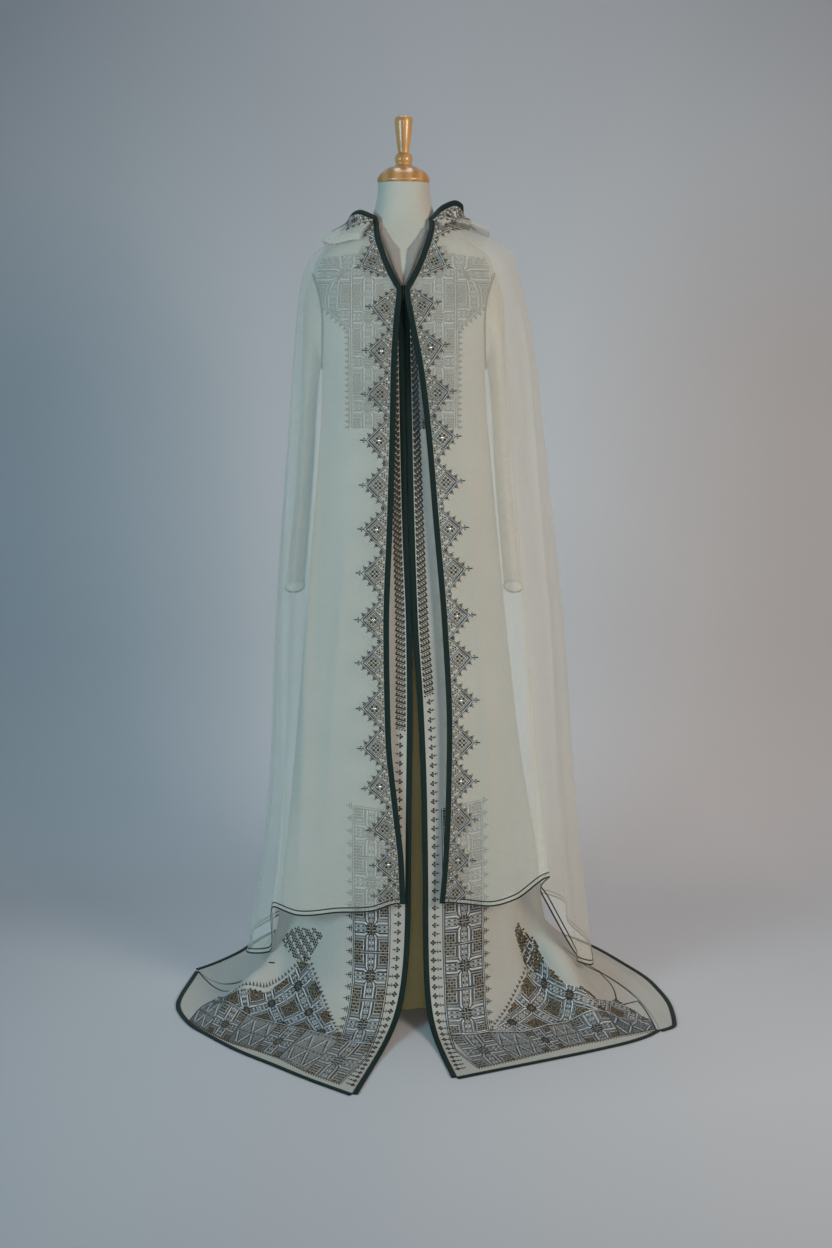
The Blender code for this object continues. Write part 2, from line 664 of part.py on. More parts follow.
def sleeve_surface(sign):
    """A hanging sleeve as surface(u, v): u round it from the underarm, v up to the armhole."""
    stops = range(1, len(SLEEVE_RINGS) + 1)

    def armhole_ring(turn):
        middle = (ARMHOLE_LOW_Z + ARMHOLE_HIGH_Z) / 2
        half = (ARMHOLE_HIGH_Z - ARMHOLE_LOW_Z) / 2 + SLEEVE_LAP
        z = middle - half * math.cos(turn)
        angle = SIDE_ANGLE - (ARMHOLE_SPREAD + SLEEVE_LAP_ANGLE) * math.sin(turn)
        return around(angle, section_radius(ROBE_SECTIONS, angle, z) + CLOTH + SLEEVE_SEAM_GAP, z)

    def ring_point(place, turn):
        x, z, tilt, half_across, half_depth = (
            smooth(stops, column(SLEEVE_RINGS, name), place) for name in SleeveRing._fields
        )
        tilt = math.radians(tilt)
        across = -math.cos(turn) * half_across
        back = SLEEVE_BACKSET * min(1.0, (ARMHOLE_HIGH_Z - z) / SLEEVE_BACKSET_RUN)
        return Vector(
            (x + across * math.sin(tilt), back - math.sin(turn) * half_depth, z + across * math.cos(tilt))
        )

    def surface(u, v):
        turn = 2 * math.pi * (u if sign > 0 else 1 - u)
        place = (1 - v) * len(SLEEVE_RINGS)
        if place <= 1:
            point = armhole_ring(turn).lerp(ring_point(1.0, turn), place)
        else:
            point = ring_point(place, turn)
        point.x *= sign
        return point

    return surface


# The cape and its hood


def cape_point(angle, z):
    """A point of the cape's inner face."""
    radius = section_radius(CAPE_SECTIONS, angle, z)
    return around(angle, radius + fold_offset(CAPE_LINES, angle, z), z)


def cape_columns(sign):
    """Directions of the columns of a half of the cape: its fold lines and their middles."""
    lines = sorted(abs(line.angle) for line in CAPE_LINES if line.angle * sign >= 0)
    middles = [(a + b) / 2 for a, b in zip(lines, lines[1:])]
    return sorted(lines + middles)


def cape_surface(sign):
    """A half of the cape as surface(u, v), from the front edge to the centre back."""
    columns = cape_columns(sign)

    def edge_angle(z):
        middle = look_up(CAPE_BRAID_LINES, "z", "right" if sign > 0 else "left", z)
        off = middle + sign * (BRAID_WIDTH / 2 + SEAM_GAP)
        return math.degrees(math.asin(off / section_radius(CAPE_SECTIONS, 0.0, z)))

    def surface(u, v):
        share = u if sign > 0 else 1 - u
        nominal = row_share(columns, share)
        hem_z = look_up(CAPE_LINES, "angle", "hem_z", sign * nominal)
        neck_z = look_up(NECKLINE, "angle", "cape_z", nominal)
        z = mix(hem_z, neck_z, row_share(CAPE_ROWS, v))
        seam = math.degrees(SEAM_GAP / 2 / section_radius(CAPE_SECTIONS, 180.0, z))
        shift = edge_angle(z) * max(0.0, 1 - nominal / HOOD_START_ANGLE)
        return cape_point(shift + sign * nominal * (1 - seam / 180.0), z)

    return surface


def hood_surface(u, v):
    """The hood lying back: v runs from its rim down round its fold and up to its neck seam."""
    angle = mix(HOOD_START_ANGLE, 360.0 - HOOD_START_ANGLE, u)
    signed = angle if angle <= 180.0 else angle - 360.0
    drop, bag, rim_radius, rim_z = (
        look_up(HOOD_ROWS, "angle", name, angle) for name in HoodRow._fields[1:]
    )
    neck_z = look_up(NECKLINE, "angle", "cape_z", abs(signed))
    turn = math.radians(signed)

    def over_cape(below, clear):
        lower, here = (cape_point(signed, neck_z - below + s) for s in (-HOOD_SIGHT, HOOD_SIGHT))
        out = Vector((math.cos(turn), math.sin(turn), 0.0)).cross(here - lower).normalized()
        return (here + lower) / 2 + out * clear

    stops = [around(signed, rim_radius, rim_z)]
    for stop in HOOD_STOPS:
        stops.append(over_cape(drop * stop.drop, HOOD_CLEARANCE + bag * stop.bag))
    stops.append(over_cape(HOOD_SEAM_DROP, HOOD_CLEARANCE))
    marks = np.linspace(0.0, 1.0, len(stops))
    return Vector([smooth(marks, [p[k] for p in stops], v) for k in range(3)])


# Assembly


def add_trim(parts, name, surface, cells, path, width, side, finish, wall_side=None):
    """A braid or cord along an edge of a panel."""
    strip = trim_strip(surface, cells, path, SEAM_GAP, width, side)
    wall_side = -side if wall_side is None else wall_side
    add_cloth(parts, name, strip, len(path) - 1, 1, BRAID_THICKNESS, finish, side=wall_side)


def build_robe(parts, finishes):
    """The robe's panels, sleeves, front braids and hem cords."""
    cloth, braid = finishes["robe_cloth"], finishes["dark_braid"]
    rows = ROBE_ROW_COUNT
    cells = (FRONT_COLUMNS, rows)
    for sign, side in ((-1, "left"), (1, "right")):
        panel = robe_front_surface(sign)
        front_u = 0.0 if sign > 0 else 1.0
        add_cloth(parts, f"robe_front_{side}", panel, *cells, CLOTH, cloth)
        add_cloth(
            parts, f"robe_sleeve_{side}", sleeve_surface(sign), SLEEVE_SEGMENTS, SLEEVE_ROWS, CLOTH,
            finishes["sleeve_cloth"], closed=True, side=1.0,
        )
        edge = [(front_u, k / rows) for k in range(rows + 1)]
        add_trim(parts, f"robe_braid_{side}", panel, cells, edge, BRAID_WIDTH, -sign, braid)
        hem = [(k / FRONT_COLUMNS, 0.0) for k in range(FRONT_COLUMNS + 1)]
        add_trim(parts, f"robe_hem_cord_{side}", panel, cells, hem, HEM_CORD_WIDTH, 1, braid)
    cells = (BACK_COLUMNS, rows)
    add_cloth(parts, "robe_back", robe_back_surface, *cells, CLOTH, cloth)
    hem = [(k / BACK_COLUMNS, 0.0) for k in range(BACK_COLUMNS + 1)]
    add_trim(parts, "robe_hem_cord_back", robe_back_surface, cells, hem, HEM_CORD_WIDTH, 1, braid)


def build_cape(parts, finishes):
    """The cape's halves, its front braids, the hood and the hood's braid."""
    cloth, braid = finishes["cape_cloth"], finishes["dark_braid"]
    rows = len(CAPE_ROWS) - 1
    for sign, side in ((-1, "left"), (1, "right")):
        panel = cape_surface(sign)
        angles = cape_columns(sign)
        cells = (len(angles) - 1, rows)
        add_cloth(parts, f"cape_{side}", panel, *cells, CAPE_CLOTH, cloth)
        shares = [k / cells[0] for k, a in enumerate(angles) if 0 < a <= HOOD_START_ANGLE]
        front = [(0.0 if sign > 0 else 1.0, k / rows) for k in range(rows + 1)]
        neck = [(share if sign > 0 else 1 - share, 1.0) for share in shares]
        add_trim(parts, f"cape_braid_{side}", panel, cells, front + neck, BRAID_WIDTH, -sign, braid)
    cells = (HOOD_COLUMNS, HOOD_ROWS_UP)
    add_cloth(parts, "hood", hood_surface, *cells, CAPE_CLOTH, cloth, side=-1.0)
    rim = [(k / HOOD_COLUMNS, 0.0) for k in range(HOOD_COLUMNS + 1)]
    add_trim(
        parts, "hood_braid", hood_surface, cells, rim, BRAID_WIDTH, 1, braid, wall_side=1
    )


def main():
    """Builds the whole object."""
    parts = reset_scene()
    finishes = {
        "form_cover": material("form_cover", (0.78, 0.75, 0.68), 0.7),
        "form_wood": material("form_wood", (0.62, 0.36, 0.14), 0.3),
        "form_metal": material("form_metal", (0.5, 0.5, 0.5), 0.35, metallic=0.9),
        "robe_cloth": material("robe_cloth", (0.80, 0.77, 0.69), 0.6),
        "sleeve_cloth": material("sleeve_cloth", (0.82, 0.78, 0.68), 0.6, alpha=0.6),
        "cape_cloth": material("cape_cloth", (0.84, 0.82, 0.72), 0.55, alpha=0.5),
        "lining_cloth": material("lining_cloth", (0.60, 0.56, 0.38), 0.6),
        "dark_braid": material("dark_braid", (0.015, 0.035, 0.032), 0.6),
    }
    build_form(parts, finishes)
    add_cloth(
        parts, "underskirt", underskirt_surface, 2 * UNDERSKIRT_PLEATS, len(UNDERSKIRT_ROWS) - 1,
        CLOTH, finishes["lining_cloth"], closed=True,
    )
    build_robe(parts, finishes)
    build_cape(parts, finishes)


main()
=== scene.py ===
"""A two-layer embroidered caftan on a limbless dress form.

The inner robe is open down the front and spreads over the floor. A sheer hooded cape is worn
over it, edged with dark braid and stitched diamonds. "Left" and "right" are as seen from the
front, so left is -X. The scene is in metres, +Z up, with the garment facing -Y. Tables, profiles
and charts are written in millimetres where they say so.
"""

from __future__ import annotations

import logging
import math
import sys
from dataclasses import dataclass
from enum import Enum
from typing import Callable, NamedTuple, Sequence

import bpy
import numpy as np
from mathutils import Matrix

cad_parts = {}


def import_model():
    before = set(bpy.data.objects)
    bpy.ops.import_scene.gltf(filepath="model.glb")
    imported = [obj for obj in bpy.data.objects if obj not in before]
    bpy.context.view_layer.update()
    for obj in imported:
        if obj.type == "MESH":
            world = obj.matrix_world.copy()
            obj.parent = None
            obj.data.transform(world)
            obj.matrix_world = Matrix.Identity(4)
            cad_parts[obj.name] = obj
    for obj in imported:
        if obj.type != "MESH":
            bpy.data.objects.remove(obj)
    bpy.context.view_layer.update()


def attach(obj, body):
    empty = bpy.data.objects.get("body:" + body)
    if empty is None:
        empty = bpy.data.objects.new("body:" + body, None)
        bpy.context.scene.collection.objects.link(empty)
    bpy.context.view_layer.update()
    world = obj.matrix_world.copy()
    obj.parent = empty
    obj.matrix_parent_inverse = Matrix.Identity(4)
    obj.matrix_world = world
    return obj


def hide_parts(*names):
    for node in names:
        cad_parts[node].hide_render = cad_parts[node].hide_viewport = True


LOG = logging.getLogger("caftan")
ROOT = "root"
SIDES = {-1: "left", 1: "right"}
CLOTH_MAP = "cloth_map"
MILLIMETRE = 0.001

Array = np.ndarray
Piece, Material = bpy.types.Object, bpy.types.Material
Tree, Node, Socket = bpy.types.NodeTree, bpy.types.Node, bpy.types.NodeSocket
Place = tuple[float, float]
Line = Sequence[Place]
Surface = Callable[[Array, Array], Array]
Mapping = Callable[[Array], tuple[Array, Array]]


# Curves and tables


def in_metres(places: Sequence[Sequence[float]]) -> Array:
    """Turns lengths in millimetres into metres."""
    return np.array(places, float) * MILLIMETRE


def smooth(xs: Array, ys: Array, x: Array) -> Array:
    """Reads a smooth curve at many places, held level past its ends.

    Args:
        xs: where the curve's points lie, rising.
        ys: the points' values; further axes give each place in x a curve of its own.
        x: the places to read.

    Returns:
        The curve's values, in x's shape.
    """
    x = np.clip(np.asarray(x, float), xs[0], xs[-1])
    steps = np.diff(xs)
    wide = steps.reshape((-1,) + (1,) * (ys.ndim - 1))
    slopes = np.diff(ys, axis=0) / wide
    tangents = np.empty_like(ys)
    tangents[0], tangents[-1] = slopes[0], slopes[-1]
    before, after = slopes[:-1], slopes[1:]
    near, far = 2 * wide[1:] + wide[:-1], wide[1:] + 2 * wide[:-1]
    with np.errstate(divide="ignore", invalid="ignore"):
        bent = (near + far) / (near / before + far / after)
    tangents[1:-1] = np.where(before * after <= 0, 0.0, bent)
    k = np.clip(np.searchsorted(xs, x, side="right") - 1, 0, len(steps) - 1)

    def pick(values: Array, at: Array) -> Array:
        """Reads one value per place, from a shared curve or from the place's own."""
        return values[at] if values.ndim == 1 else np.take_along_axis(values, at[None], axis=0)[0]

    step = steps[k]
    t = (x - xs[k]) / step
    return (
        pick(ys, k) * (1 + 2 * t) * (1 - t) ** 2 + pick(tangents, k) * step * t * (1 - t) ** 2
        + pick(ys, k + 1) * t * t * (3 - 2 * t) + pick(tangents, k + 1) * step * t * t * (t - 1)
    )


class Table:
    """Rows of numbers under named columns, the first of them the key, with lengths in mm."""

    plain = ("angle", "share", "place", "tilt")

    def __init__(self, columns: str, *rows: Sequence[float]) -> None:
        """Takes the columns' names and the rows, and turns lengths into metres."""
        self.given, names = rows, columns.split()
        units = [1 if name in self.plain else 1000 for name in names]
        self.columns = dict(zip(names, (np.array(rows, float) / units).T))
        self.key = self.columns[names[0]]

    def read(self, name: str, x: Array) -> Array:
        """Reads a column smoothly at places along the key."""
        return smooth(self.key, self.columns[name], x)

    def read_all(self, x: Array) -> list[Array]:
        """Reads every column after the key."""
        return [self.read(name, x) for name in list(self.columns)[1:]]


# Tables that the cloth is worked out from. Sections are half-widths left and right and depths
# in front and behind; lines tell how far a fold stands out at the hem, where it begins and how
# high the hem is there; spokes tell how a panel runs from the knee over the floor.

FORM_SECTIONS = Table(
    "z left right front back",
    (700, 134, 134, 96, 98), (760, 146, 146, 105, 108), (820, 148, 148, 107, 111),
    (900, 134, 134, 97, 101), (980, 110, 110, 86, 86), (1060, 114, 114, 92, 84),
    (1140, 129, 129, 106, 88), (1200, 139, 139, 113, 92), (1260, 147, 147, 110, 96),
    (1320, 153, 153, 99, 97), (1370, 157, 157, 87, 91), (1400, 152, 152, 77, 83),
    (1420, 124, 124, 70, 77), (1440, 93, 93, 63, 68), (1455, 72, 72, 58, 61), (1470, 59, 59, 54, 56),
    (1490, 52, 52, 50, 51), (1510, 48, 48, 47, 48), (1532, 46, 46, 46, 46)
)
SHOULDER_GAP = 0.0031
ROBE_SECTIONS = Table(
    "z left right front back",
    (270, 224, 240, 206, 200), (400, 212, 226, 197, 186), (550, 199, 209, 184, 170),
    (700, 187, 193, 171, 155), (900, 170, 173, 153, 136), (1050, 157, 159, 139, 121),
    (1140, 151, 151, 130, 112), (1200, 149, 149, 122, 104), (1260, 155, 155, 118, 105),
    (1320, 160, 160, 107, 105), (1370, 163.5, 163.5, 94.5, 98.5),
    *((z, *(side + SHOULDER_GAP / MILLIMETRE for side in sides))
      for z, *sides in FORM_SECTIONS.given if z >= 1400)
)
UNDERSKIRT_SECTIONS = Table(
    "z left right front back",
    (0, 196, 196, 142, 156), (30, 184, 184, 133, 146), (300, 176, 176, 131, 140),
    (600, 166, 166, 125, 130), (760, 159, 159, 118, 121), (840, 155, 155, 114, 118),
    (920, 134, 134, 100, 102), (980, 110.8, 110.8, 86.8, 86.8)
)
CAPE_SECTIONS = Table(
    "z left right front back",
    (40, 305, 368, 236, 262), (180, 283, 352, 226, 242), (340, 260, 333, 216, 222),
    (500, 249, 317, 203, 203), (700, 242, 300, 187, 182), (900, 229, 277, 170, 163),
    (1100, 213, 255, 154, 143), (1200, 205, 245, 144, 130), (1300, 196, 230, 126, 118),
    (1360, 187, 214, 106, 108), (1400, 170, 204, 90, 97), (1425, 136, 174, 80, 88),
    (1440, 107, 136, 73, 81), (1455, 78.5, 92, 66, 73), (1470, 64, 66.5, 60.5, 64),
    (1485, 60, 62, 57.5, 60)
)
NECKLINE = Table(
    "angle cape_z robe_z",
    (0, 1340, 1346), (12, 1374, 1384), (25, 1412, 1418), (40, 1448, 1446), (55, 1468, 1462),
    (75, 1477, 1470), (90, 1479, 1472), (130, 1477, 1470), (180, 1474, 1466)
)
CAPE_LINES = Table(
    "angle depth start_z hem_z",
    (-180, 0, 1250, 150), (-166, 20, 1250, 145), (-150, -18, 1250, 135), (-134, 22, 1280, 115),
    (-118, -16, 1280, 92), (-104, 14, 1250, 70), (-92, 0, 1150, 64), (-80, 10, 1150, 78),
    (-67, -18, 1200, 100), (-54, 26, 1240, 212), (-45, 14, 1150, 203), (-30, -6, 700, 212),
    (-14, 0, 600, 220), (0, 0, 600, 236), (16, 0, 600, 230), (32, -10, 900, 224), (45, 10, 1100, 236),
    (54, 32, 1280, 276), (61, -24, 1280, 226), (69, -2, 1200, 104), (77, -20, 1200, 68),
    (85, 2, 1200, 46), (94, 2, 1200, 62), (105, -20, 1250, 86), (117, 16, 1280, 108),
    (132, -20, 1280, 125), (148, 20, 1280, 138), (164, -14, 1250, 146), (180, 0, 1250, 150)
)
KNEE_Z = 0.27
ROBE_LINES = Table(
    "angle depth start_z hem_z",
    (-180, 0, 1050, 270), (-162, 10, 1050, 270), (-142, -10, 1050, 270), (-120, 10, 1050, 270),
    (-90, 0, 1050, 270), (-70, 10, 950, 270), (-45, -8, 950, 270), (-20, 0, 950, 270), (20, 0, 950, 270),
    (48, -10, 950, 270), (72, 12, 950, 270), (90, 0, 1050, 270), (120, 10, 1050, 270),
    (143, -10, 1050, 270), (164, 10, 1050, 270), (180, 0, 1050, 270)
)
CAPE_BRAID_LINES = Table(
    "z left right",
    (180, 0, 61), (308, -4, 72), (414, -15, 76), (541, -27, 77), (737, -30, 69), (940, -23, 54),
    (1096, -18.5, 42), (1209, -16, 29), (1290, -11, 14), (1340, -6.2, 6.2), (1400, -6.2, 6.2)
)
ROBE_BRAID_EDGES = Table(
    "z left right",
    (0, 0, 39), (106, 6, 35.6), (222, 12.4, 34.4), (430, 14.8, 31.3), (596, 16.5, 25), (735, 15, 16),
    (911, 8.6, 9.6), (1124, 3.6, 4.6), (1340, -0.5, 0.5), (1392, -4, 4)
)
ROBE_RIGHT_SPOKES = Table(
    "share pull_x pull_y hem_x hem_y lift",
    (0, 50, -225, 93, -445, 0), (0.18, 100, -240, 165, -412, 0), (0.36, 165, -225, 240, -378, 3),
    (0.54, 222, -200, 318, -342, 0), (0.68, 262, -175, 372, -315, 0), (0.78, 318, -124, 408, -295, 66),
    (0.88, 385, 30, 442, -270, 10), (1, 450, 130, 465, -245, 0)
)
ROBE_LEFT_SPOKES = Table(
    "share pull_x pull_y hem_x hem_y lift",
    (0, -22, -235, -85, -510, 0), (0.18, -85, -245, -158, -452, 0), (0.36, -150, -230, -226, -392, 3),
    (0.54, -210, -205, -296, -330, 0), (0.68, -260, -180, -352, -268, 4),
    (0.79, -305, -165, -398, -208, 34), (0.89, -330, -155, -428, -112, 6), (1, -330, -130, -412, 40, 0)
)
ROBE_BACK_SPOKES = Table(
    "share pull_x pull_y hem_x hem_y lift",
    (0, 455, 137, 471, -246, 0), (0.06, 440, 152, 497, -222, 6), (0.12, 415, 170, 502, -140, 12),
    (0.2, 370, 200, 484, -25, 0), (0.28, 325, 220, 438, 85, 12), (0.38, 235, 260, 330, 250, 18),
    (0.5, 0, 300, 0, 400, 0), (0.64, -220, 245, -265, 280, 18), (0.78, -300, 165, -345, 135, 0),
    (0.9, -330, 20, -392, 72, 10), (1, -334, -120, -414, 50, 0)
)
SLEEVE_RINGS = Table(
    "place x z tilt half_across half_depth",
    (1, 164, 1278, 8, 78, 54), (2, 170.5, 1252, 12, 64, 55), (3, 174.5, 1190, 16, 44, 58),
    (4, 179, 1110, 40, 19, 62), (5, 187, 990, 80, 14, 66), (6, 197.5, 885, 86, 15, 69),
    (7, 208, 785, 86, 16.5, 71)
)
HOOD_ROWS = Table(
    "angle fold_drop bag rim_radius rim_z",
    (45, 12, 3, 74.5, 1463), (65, 22, 4, 81, 1482), (84, 36, 8, 95, 1491), (98, 44, 12, 108, 1483),
    (112, 56, 16, 115, 1471), (130, 95, 22, 121, 1460), (155, 190, 28, 130, 1448),
    (180, 245, 30, 133, 1444), (205, 190, 28, 130, 1445), (232, 95, 18, 118, 1454),
    (255, 62, 9, 104, 1465), (275, 58, 6, 95, 1472), (294, 60, 5, 91, 1474.5), (315, 34, 3, 76.5, 1464)
)


# The hood's way round its bag, as shares of its drop and of the bag
HOOD_STOPS = ((0.6, 1.1), (0.94, 0.92), (1.0, 0.5), (0.94, 0.12), (0.5, 0.0))

# Shares of a panel's height at which its rows lie, closest over the shoulders.
CAPE_ROWS = (
    0.0, 0.09, 0.19, 0.29, 0.39, 0.49, 0.59, 0.68, 0.76, 0.82, 0.87, 0.91, 0.935, 0.955, 0.97, 0.985, 1.0
)
ROBE_ROWS = (
    0.0, 0.108, 0.217, 0.325, 0.433, 0.542, 0.625, 0.70, 0.767, 0.833, 0.883, 0.921, 0.946, 0.9625, 0.975,
    0.9875, 1.0
)
UNDERSKIRT_ROWS = (0.0, 0.03, 0.20, 0.42, 0.62, 0.76, 0.85, 0.92, 1.0)
# Heights of the torso's rows, in metres
TORSO_ROWS = (
    0.700, 0.760, 0.820, 0.900, 0.980, 1.060, 1.140, 1.200, 1.260, 1.320, 1.370, 1.390, 1.405, 1.420,
    1.432, 1.444, 1.455, 1.465, 1.477, 1.490, 1.510, 1.532
)

SECTION_POWER = 2.4
CLOTH = 0.0012
CAPE_CLOTH = 0.0010
BRAID_WIDTH = 0.0095
BRAID_THICKNESS = 0.0026
HEM_CORD_WIDTH = 0.0080
SEAM_GAP = 0.0004
FLOOR_REST = 0.0004
TORSO_BOTTOM_Z = 0.700
SIDE_ANGLE = 90.0
ARMHOLE_LOW_Z = 1.200
ARMHOLE_HIGH_Z = 1.368
ARMHOLE_MIDDLE_Z = (ARMHOLE_LOW_Z + ARMHOLE_HIGH_Z) / 2
ARMHOLE_HALF = (ARMHOLE_HIGH_Z - ARMHOLE_LOW_Z) / 2
ARMHOLE_SPREAD = 20.0
SLEEVE_LAP = 0.0040
SLEEVE_LAP_ANGLE = 1.8
SLEEVE_SEAM_GAP = 0.0007
SLEEVE_BACKSET = 0.012
SLEEVE_BACKSET_RUN = 0.200
UNDERSKIRT_PLEATS = 14
UNDERSKIRT_PLEAT_DEPTH = 0.0035
FLOOR_ROWS = 9
FLOOR_SHARE = FLOOR_ROWS / (FLOOR_ROWS + len(ROBE_ROWS) - 1)
FOLD_GROWTH = 1.2
FLOOR_FOLD_SKEW = 1.1
HOOD_START_ANGLE = 45.0
HOOD_CLEARANCE = 0.0095
HOOD_SEAM_DROP = 0.001
HOOD_SIGHT = 0.004

# The neck facing: the directions it spans, and its inner edge on the form at shares of its length
FACING_ANGLES = (1.0, 38.0)
FACING_MARKS = (0.0, 0.35, 0.6, 1.0)
FACING_X = (-0.002, 0.004, 0.008, 0.042)
FACING_Z = (1.345, 1.378, 1.412, 1.449)
FACING_AHEAD = 0.072
FACING_CLEARANCE = 0.0012
FACING_SWELL = 0.002


def row_share(rows: Sequence[float], v: Array) -> Array:
    """Reads the share of a panel's height at its row coordinate v, from 0 to 1."""
    return np.interp(v, np.linspace(0.0, 1.0, len(rows)), rows)


def mix(a: Array, b: Array, share: Array) -> Array:
    """Gives the value a given share of the way from a to b."""
    return a + (b - a) * share


def oval_radius(rows: Table, angle: Array, z: Array) -> Array:
    """Measures a level section from the axis, in a direction turned from the front."""
    turn = np.radians(angle)
    across, ahead = np.sin(turn), np.cos(turn)
    sides = [rows.read(name, z) for name in ("right", "left", "front", "back")]
    width = np.where(across >= 0, sides[0], sides[1])
    depth = np.where(ahead >= 0, sides[2], sides[3])
    total = (np.abs(across) / width) ** SECTION_POWER + (np.abs(ahead) / depth) ** SECTION_POWER
    return total ** (-1 / SECTION_POWER)


def around(angle: Array, radius: Array, z: Array) -> Array:
    """Gives points in directions turned from the front towards +X."""
    turn = np.radians(angle)
    parts = np.broadcast_arrays(radius * np.sin(turn), -radius * np.cos(turn), z)
    return np.stack(parts, axis=-1)


def unit(vectors: Array) -> Array:
    """Scales vectors to length 1."""
    return vectors / np.maximum(np.linalg.norm(vectors, axis=-1, keepdims=True), 1e-12)


def run_length(path: Array) -> Array:
    """Adds up the length along a path."""
    return np.concatenate(([0.0], np.cumsum(np.linalg.norm(np.diff(path, axis=0), axis=1))))


@dataclass(frozen=True)
class Layer:
    """A layer of the garment where it hangs: its level sections and its folds."""

    sections: Table
    lines: Table

    def reach(self, angle: Array, z: Array) -> Array:
        """Measures from the axis to the inner face, folds included."""
        depth, start_z, hem_z = self.lines.read_all(angle)
        grown = np.maximum(0.0, (start_z - z) / (start_z - hem_z))
        return oval_radius(self.sections, angle, z) + depth * grown**FOLD_GROWTH

    def point(self, angle: Array, z: Array) -> Array:
        """Gives points of the inner face."""
        return around(angle, self.reach(angle, z), z)


ROBE = Layer(ROBE_SECTIONS, ROBE_LINES)
CAPE = Layer(CAPE_SECTIONS, CAPE_LINES)


# Surfaces of the pieces, at places u and v from 0 to 1


def torso_surface(u: Array, v: Array) -> Array:
    """The torso's skin: u goes round it and v goes up it."""
    z = row_share(TORSO_ROWS, v)
    angle = mix(-180.0, 180.0, u)
    return around(angle, oval_radius(FORM_SECTIONS, angle, z), z)


def underskirt_surface(u: Array, v: Array) -> Array:
    """The underskirt's inner face, with soft pleats that fade out at the hips."""
    angle = mix(-180.0, 180.0, u)
    z = mix(FLOOR_REST, UNDERSKIRT_SECTIONS.key[-1], row_share(UNDERSKIRT_ROWS, v))
    fade = np.maximum(0.0, 1 - z / TORSO_BOTTOM_Z)
    wave = 1 + np.cos(np.radians(angle * UNDERSKIRT_PLEATS))
    pleat = UNDERSKIRT_PLEAT_DEPTH * fade * wave
    return around(angle, oval_radius(UNDERSKIRT_SECTIONS, angle, z) + pleat, z)


def armhole_spread(z: Array) -> Array:
    """How far, in degrees, the armhole's edges lie to either side of the side seam."""
    off = (z - ARMHOLE_MIDDLE_Z) / ARMHOLE_HALF
    return ARMHOLE_SPREAD * np.sqrt(np.maximum(0.0, 1 - off**2))


def floor_run(spokes: Table, share: Array, knee: Array, down: Array) -> Array:
    """Carries the cloth from the knee over the floor to the hem.

    Args:
        spokes: the panel's table of runs.
        share: the place across the panel, from 0 to 1.
        knee: the points at the knee that the runs start from.
        down: 0 at the knee and 1 at the hem.

    Returns:
        The points on the way.
    """
    pull_x, pull_y, hem_x, hem_y, lift = spokes.read_all(share)
    up = 1 - down
    near, pull, far = up**3 + 3 * up * up * down, 3 * up * down * down, down**3
    z = FLOOR_REST + up**3 * (knee[..., 2] - FLOOR_REST)
    z = z + lift * np.sin(math.pi * down**FLOOR_FOLD_SKEW) ** 2
    x = near * knee[..., 0] + pull * pull_x + far * hem_x
    y = near * knee[..., 1] + pull * pull_y + far * hem_y
    return np.stack((x, y, z), axis=-1)


def drape(spokes: Table, hanging: Surface, share: Array, v: Array) -> Array:
    """Joins the part of a panel that hangs above the knee with its run over the floor.

    Args:
        spokes: the panel's table of runs.
        hanging: the part above the knee.
        share: the place across the panel, from 0 to 1.
        v: the place up it, from 0 to 1.

    Returns:
        The points of the whole panel.
    """
    rise = np.clip((v - FLOOR_SHARE) / (1 - FLOOR_SHARE), 0.0, 1.0)
    down = np.clip(1 - v / FLOOR_SHARE, 0.0, 1.0)
    laid = floor_run(spokes, share, hanging(share, np.zeros_like(share)), down)
    return np.where((v >= FLOOR_SHARE)[..., None], hanging(share, rise), laid)


def seam_angle(sections: Table, towards: float, z: Array) -> Array:
    """Gives half of a seam's gap as an angle at the axis."""
    return np.degrees(SEAM_GAP / 2 / oval_radius(sections, towards, z))


def robe_front_surface(sign: int) -> Surface:
    """A front of the robe: u runs across it towards +X, and v up it."""
    spokes = ROBE_RIGHT_SPOKES if sign > 0 else ROBE_LEFT_SPOKES

    def hanging(share: Array, rise: Array) -> Array:
        """The part above the knee, from the front edge to the side seam."""
        neck_z = NECKLINE.read("robe_z", SIDE_ANGLE * share)
        z = mix(KNEE_Z, neck_z, row_share(ROBE_ROWS, rise))
        off = ROBE_BRAID_EDGES.read(SIDES[sign], z) + sign * (BRAID_WIDTH + SEAM_GAP)
        edge = np.degrees(np.arcsin(off / oval_radius(ROBE_SECTIONS, 0.0, z)))
        side = SIDE_ANGLE - armhole_spread(z) - seam_angle(ROBE_SECTIONS, SIDE_ANGLE, z)
        return ROBE.point(mix(edge, sign * side, share), z)

    def surface(u: Array, v: Array) -> Array:
        """The whole front."""
        return drape(spokes, hanging, u if sign > 0 else 1 - u, v)

    return surface


def robe_back_surface(u: Array, v: Array) -> Array:
    """The robe's back in one piece, from the right side seam round to the left one."""

    def hanging(share: Array, rise: Array) -> Array:
        """The part above the knee."""
        nominal = mix(SIDE_ANGLE, 360.0 - SIDE_ANGLE, share)
        neck_z = NECKLINE.read("robe_z", np.minimum(nominal, 360.0 - nominal))
        z = mix(KNEE_Z, neck_z, row_share(ROBE_ROWS, rise))
        start = SIDE_ANGLE + armhole_spread(z) + seam_angle(ROBE_SECTIONS, SIDE_ANGLE, z)
        angle = mix(start, 360.0 - start, share)
        return ROBE.point(np.where(angle <= 180.0, angle, angle - 360.0), z)

    return drape(ROBE_BACK_SPOKES, hanging, u, v)


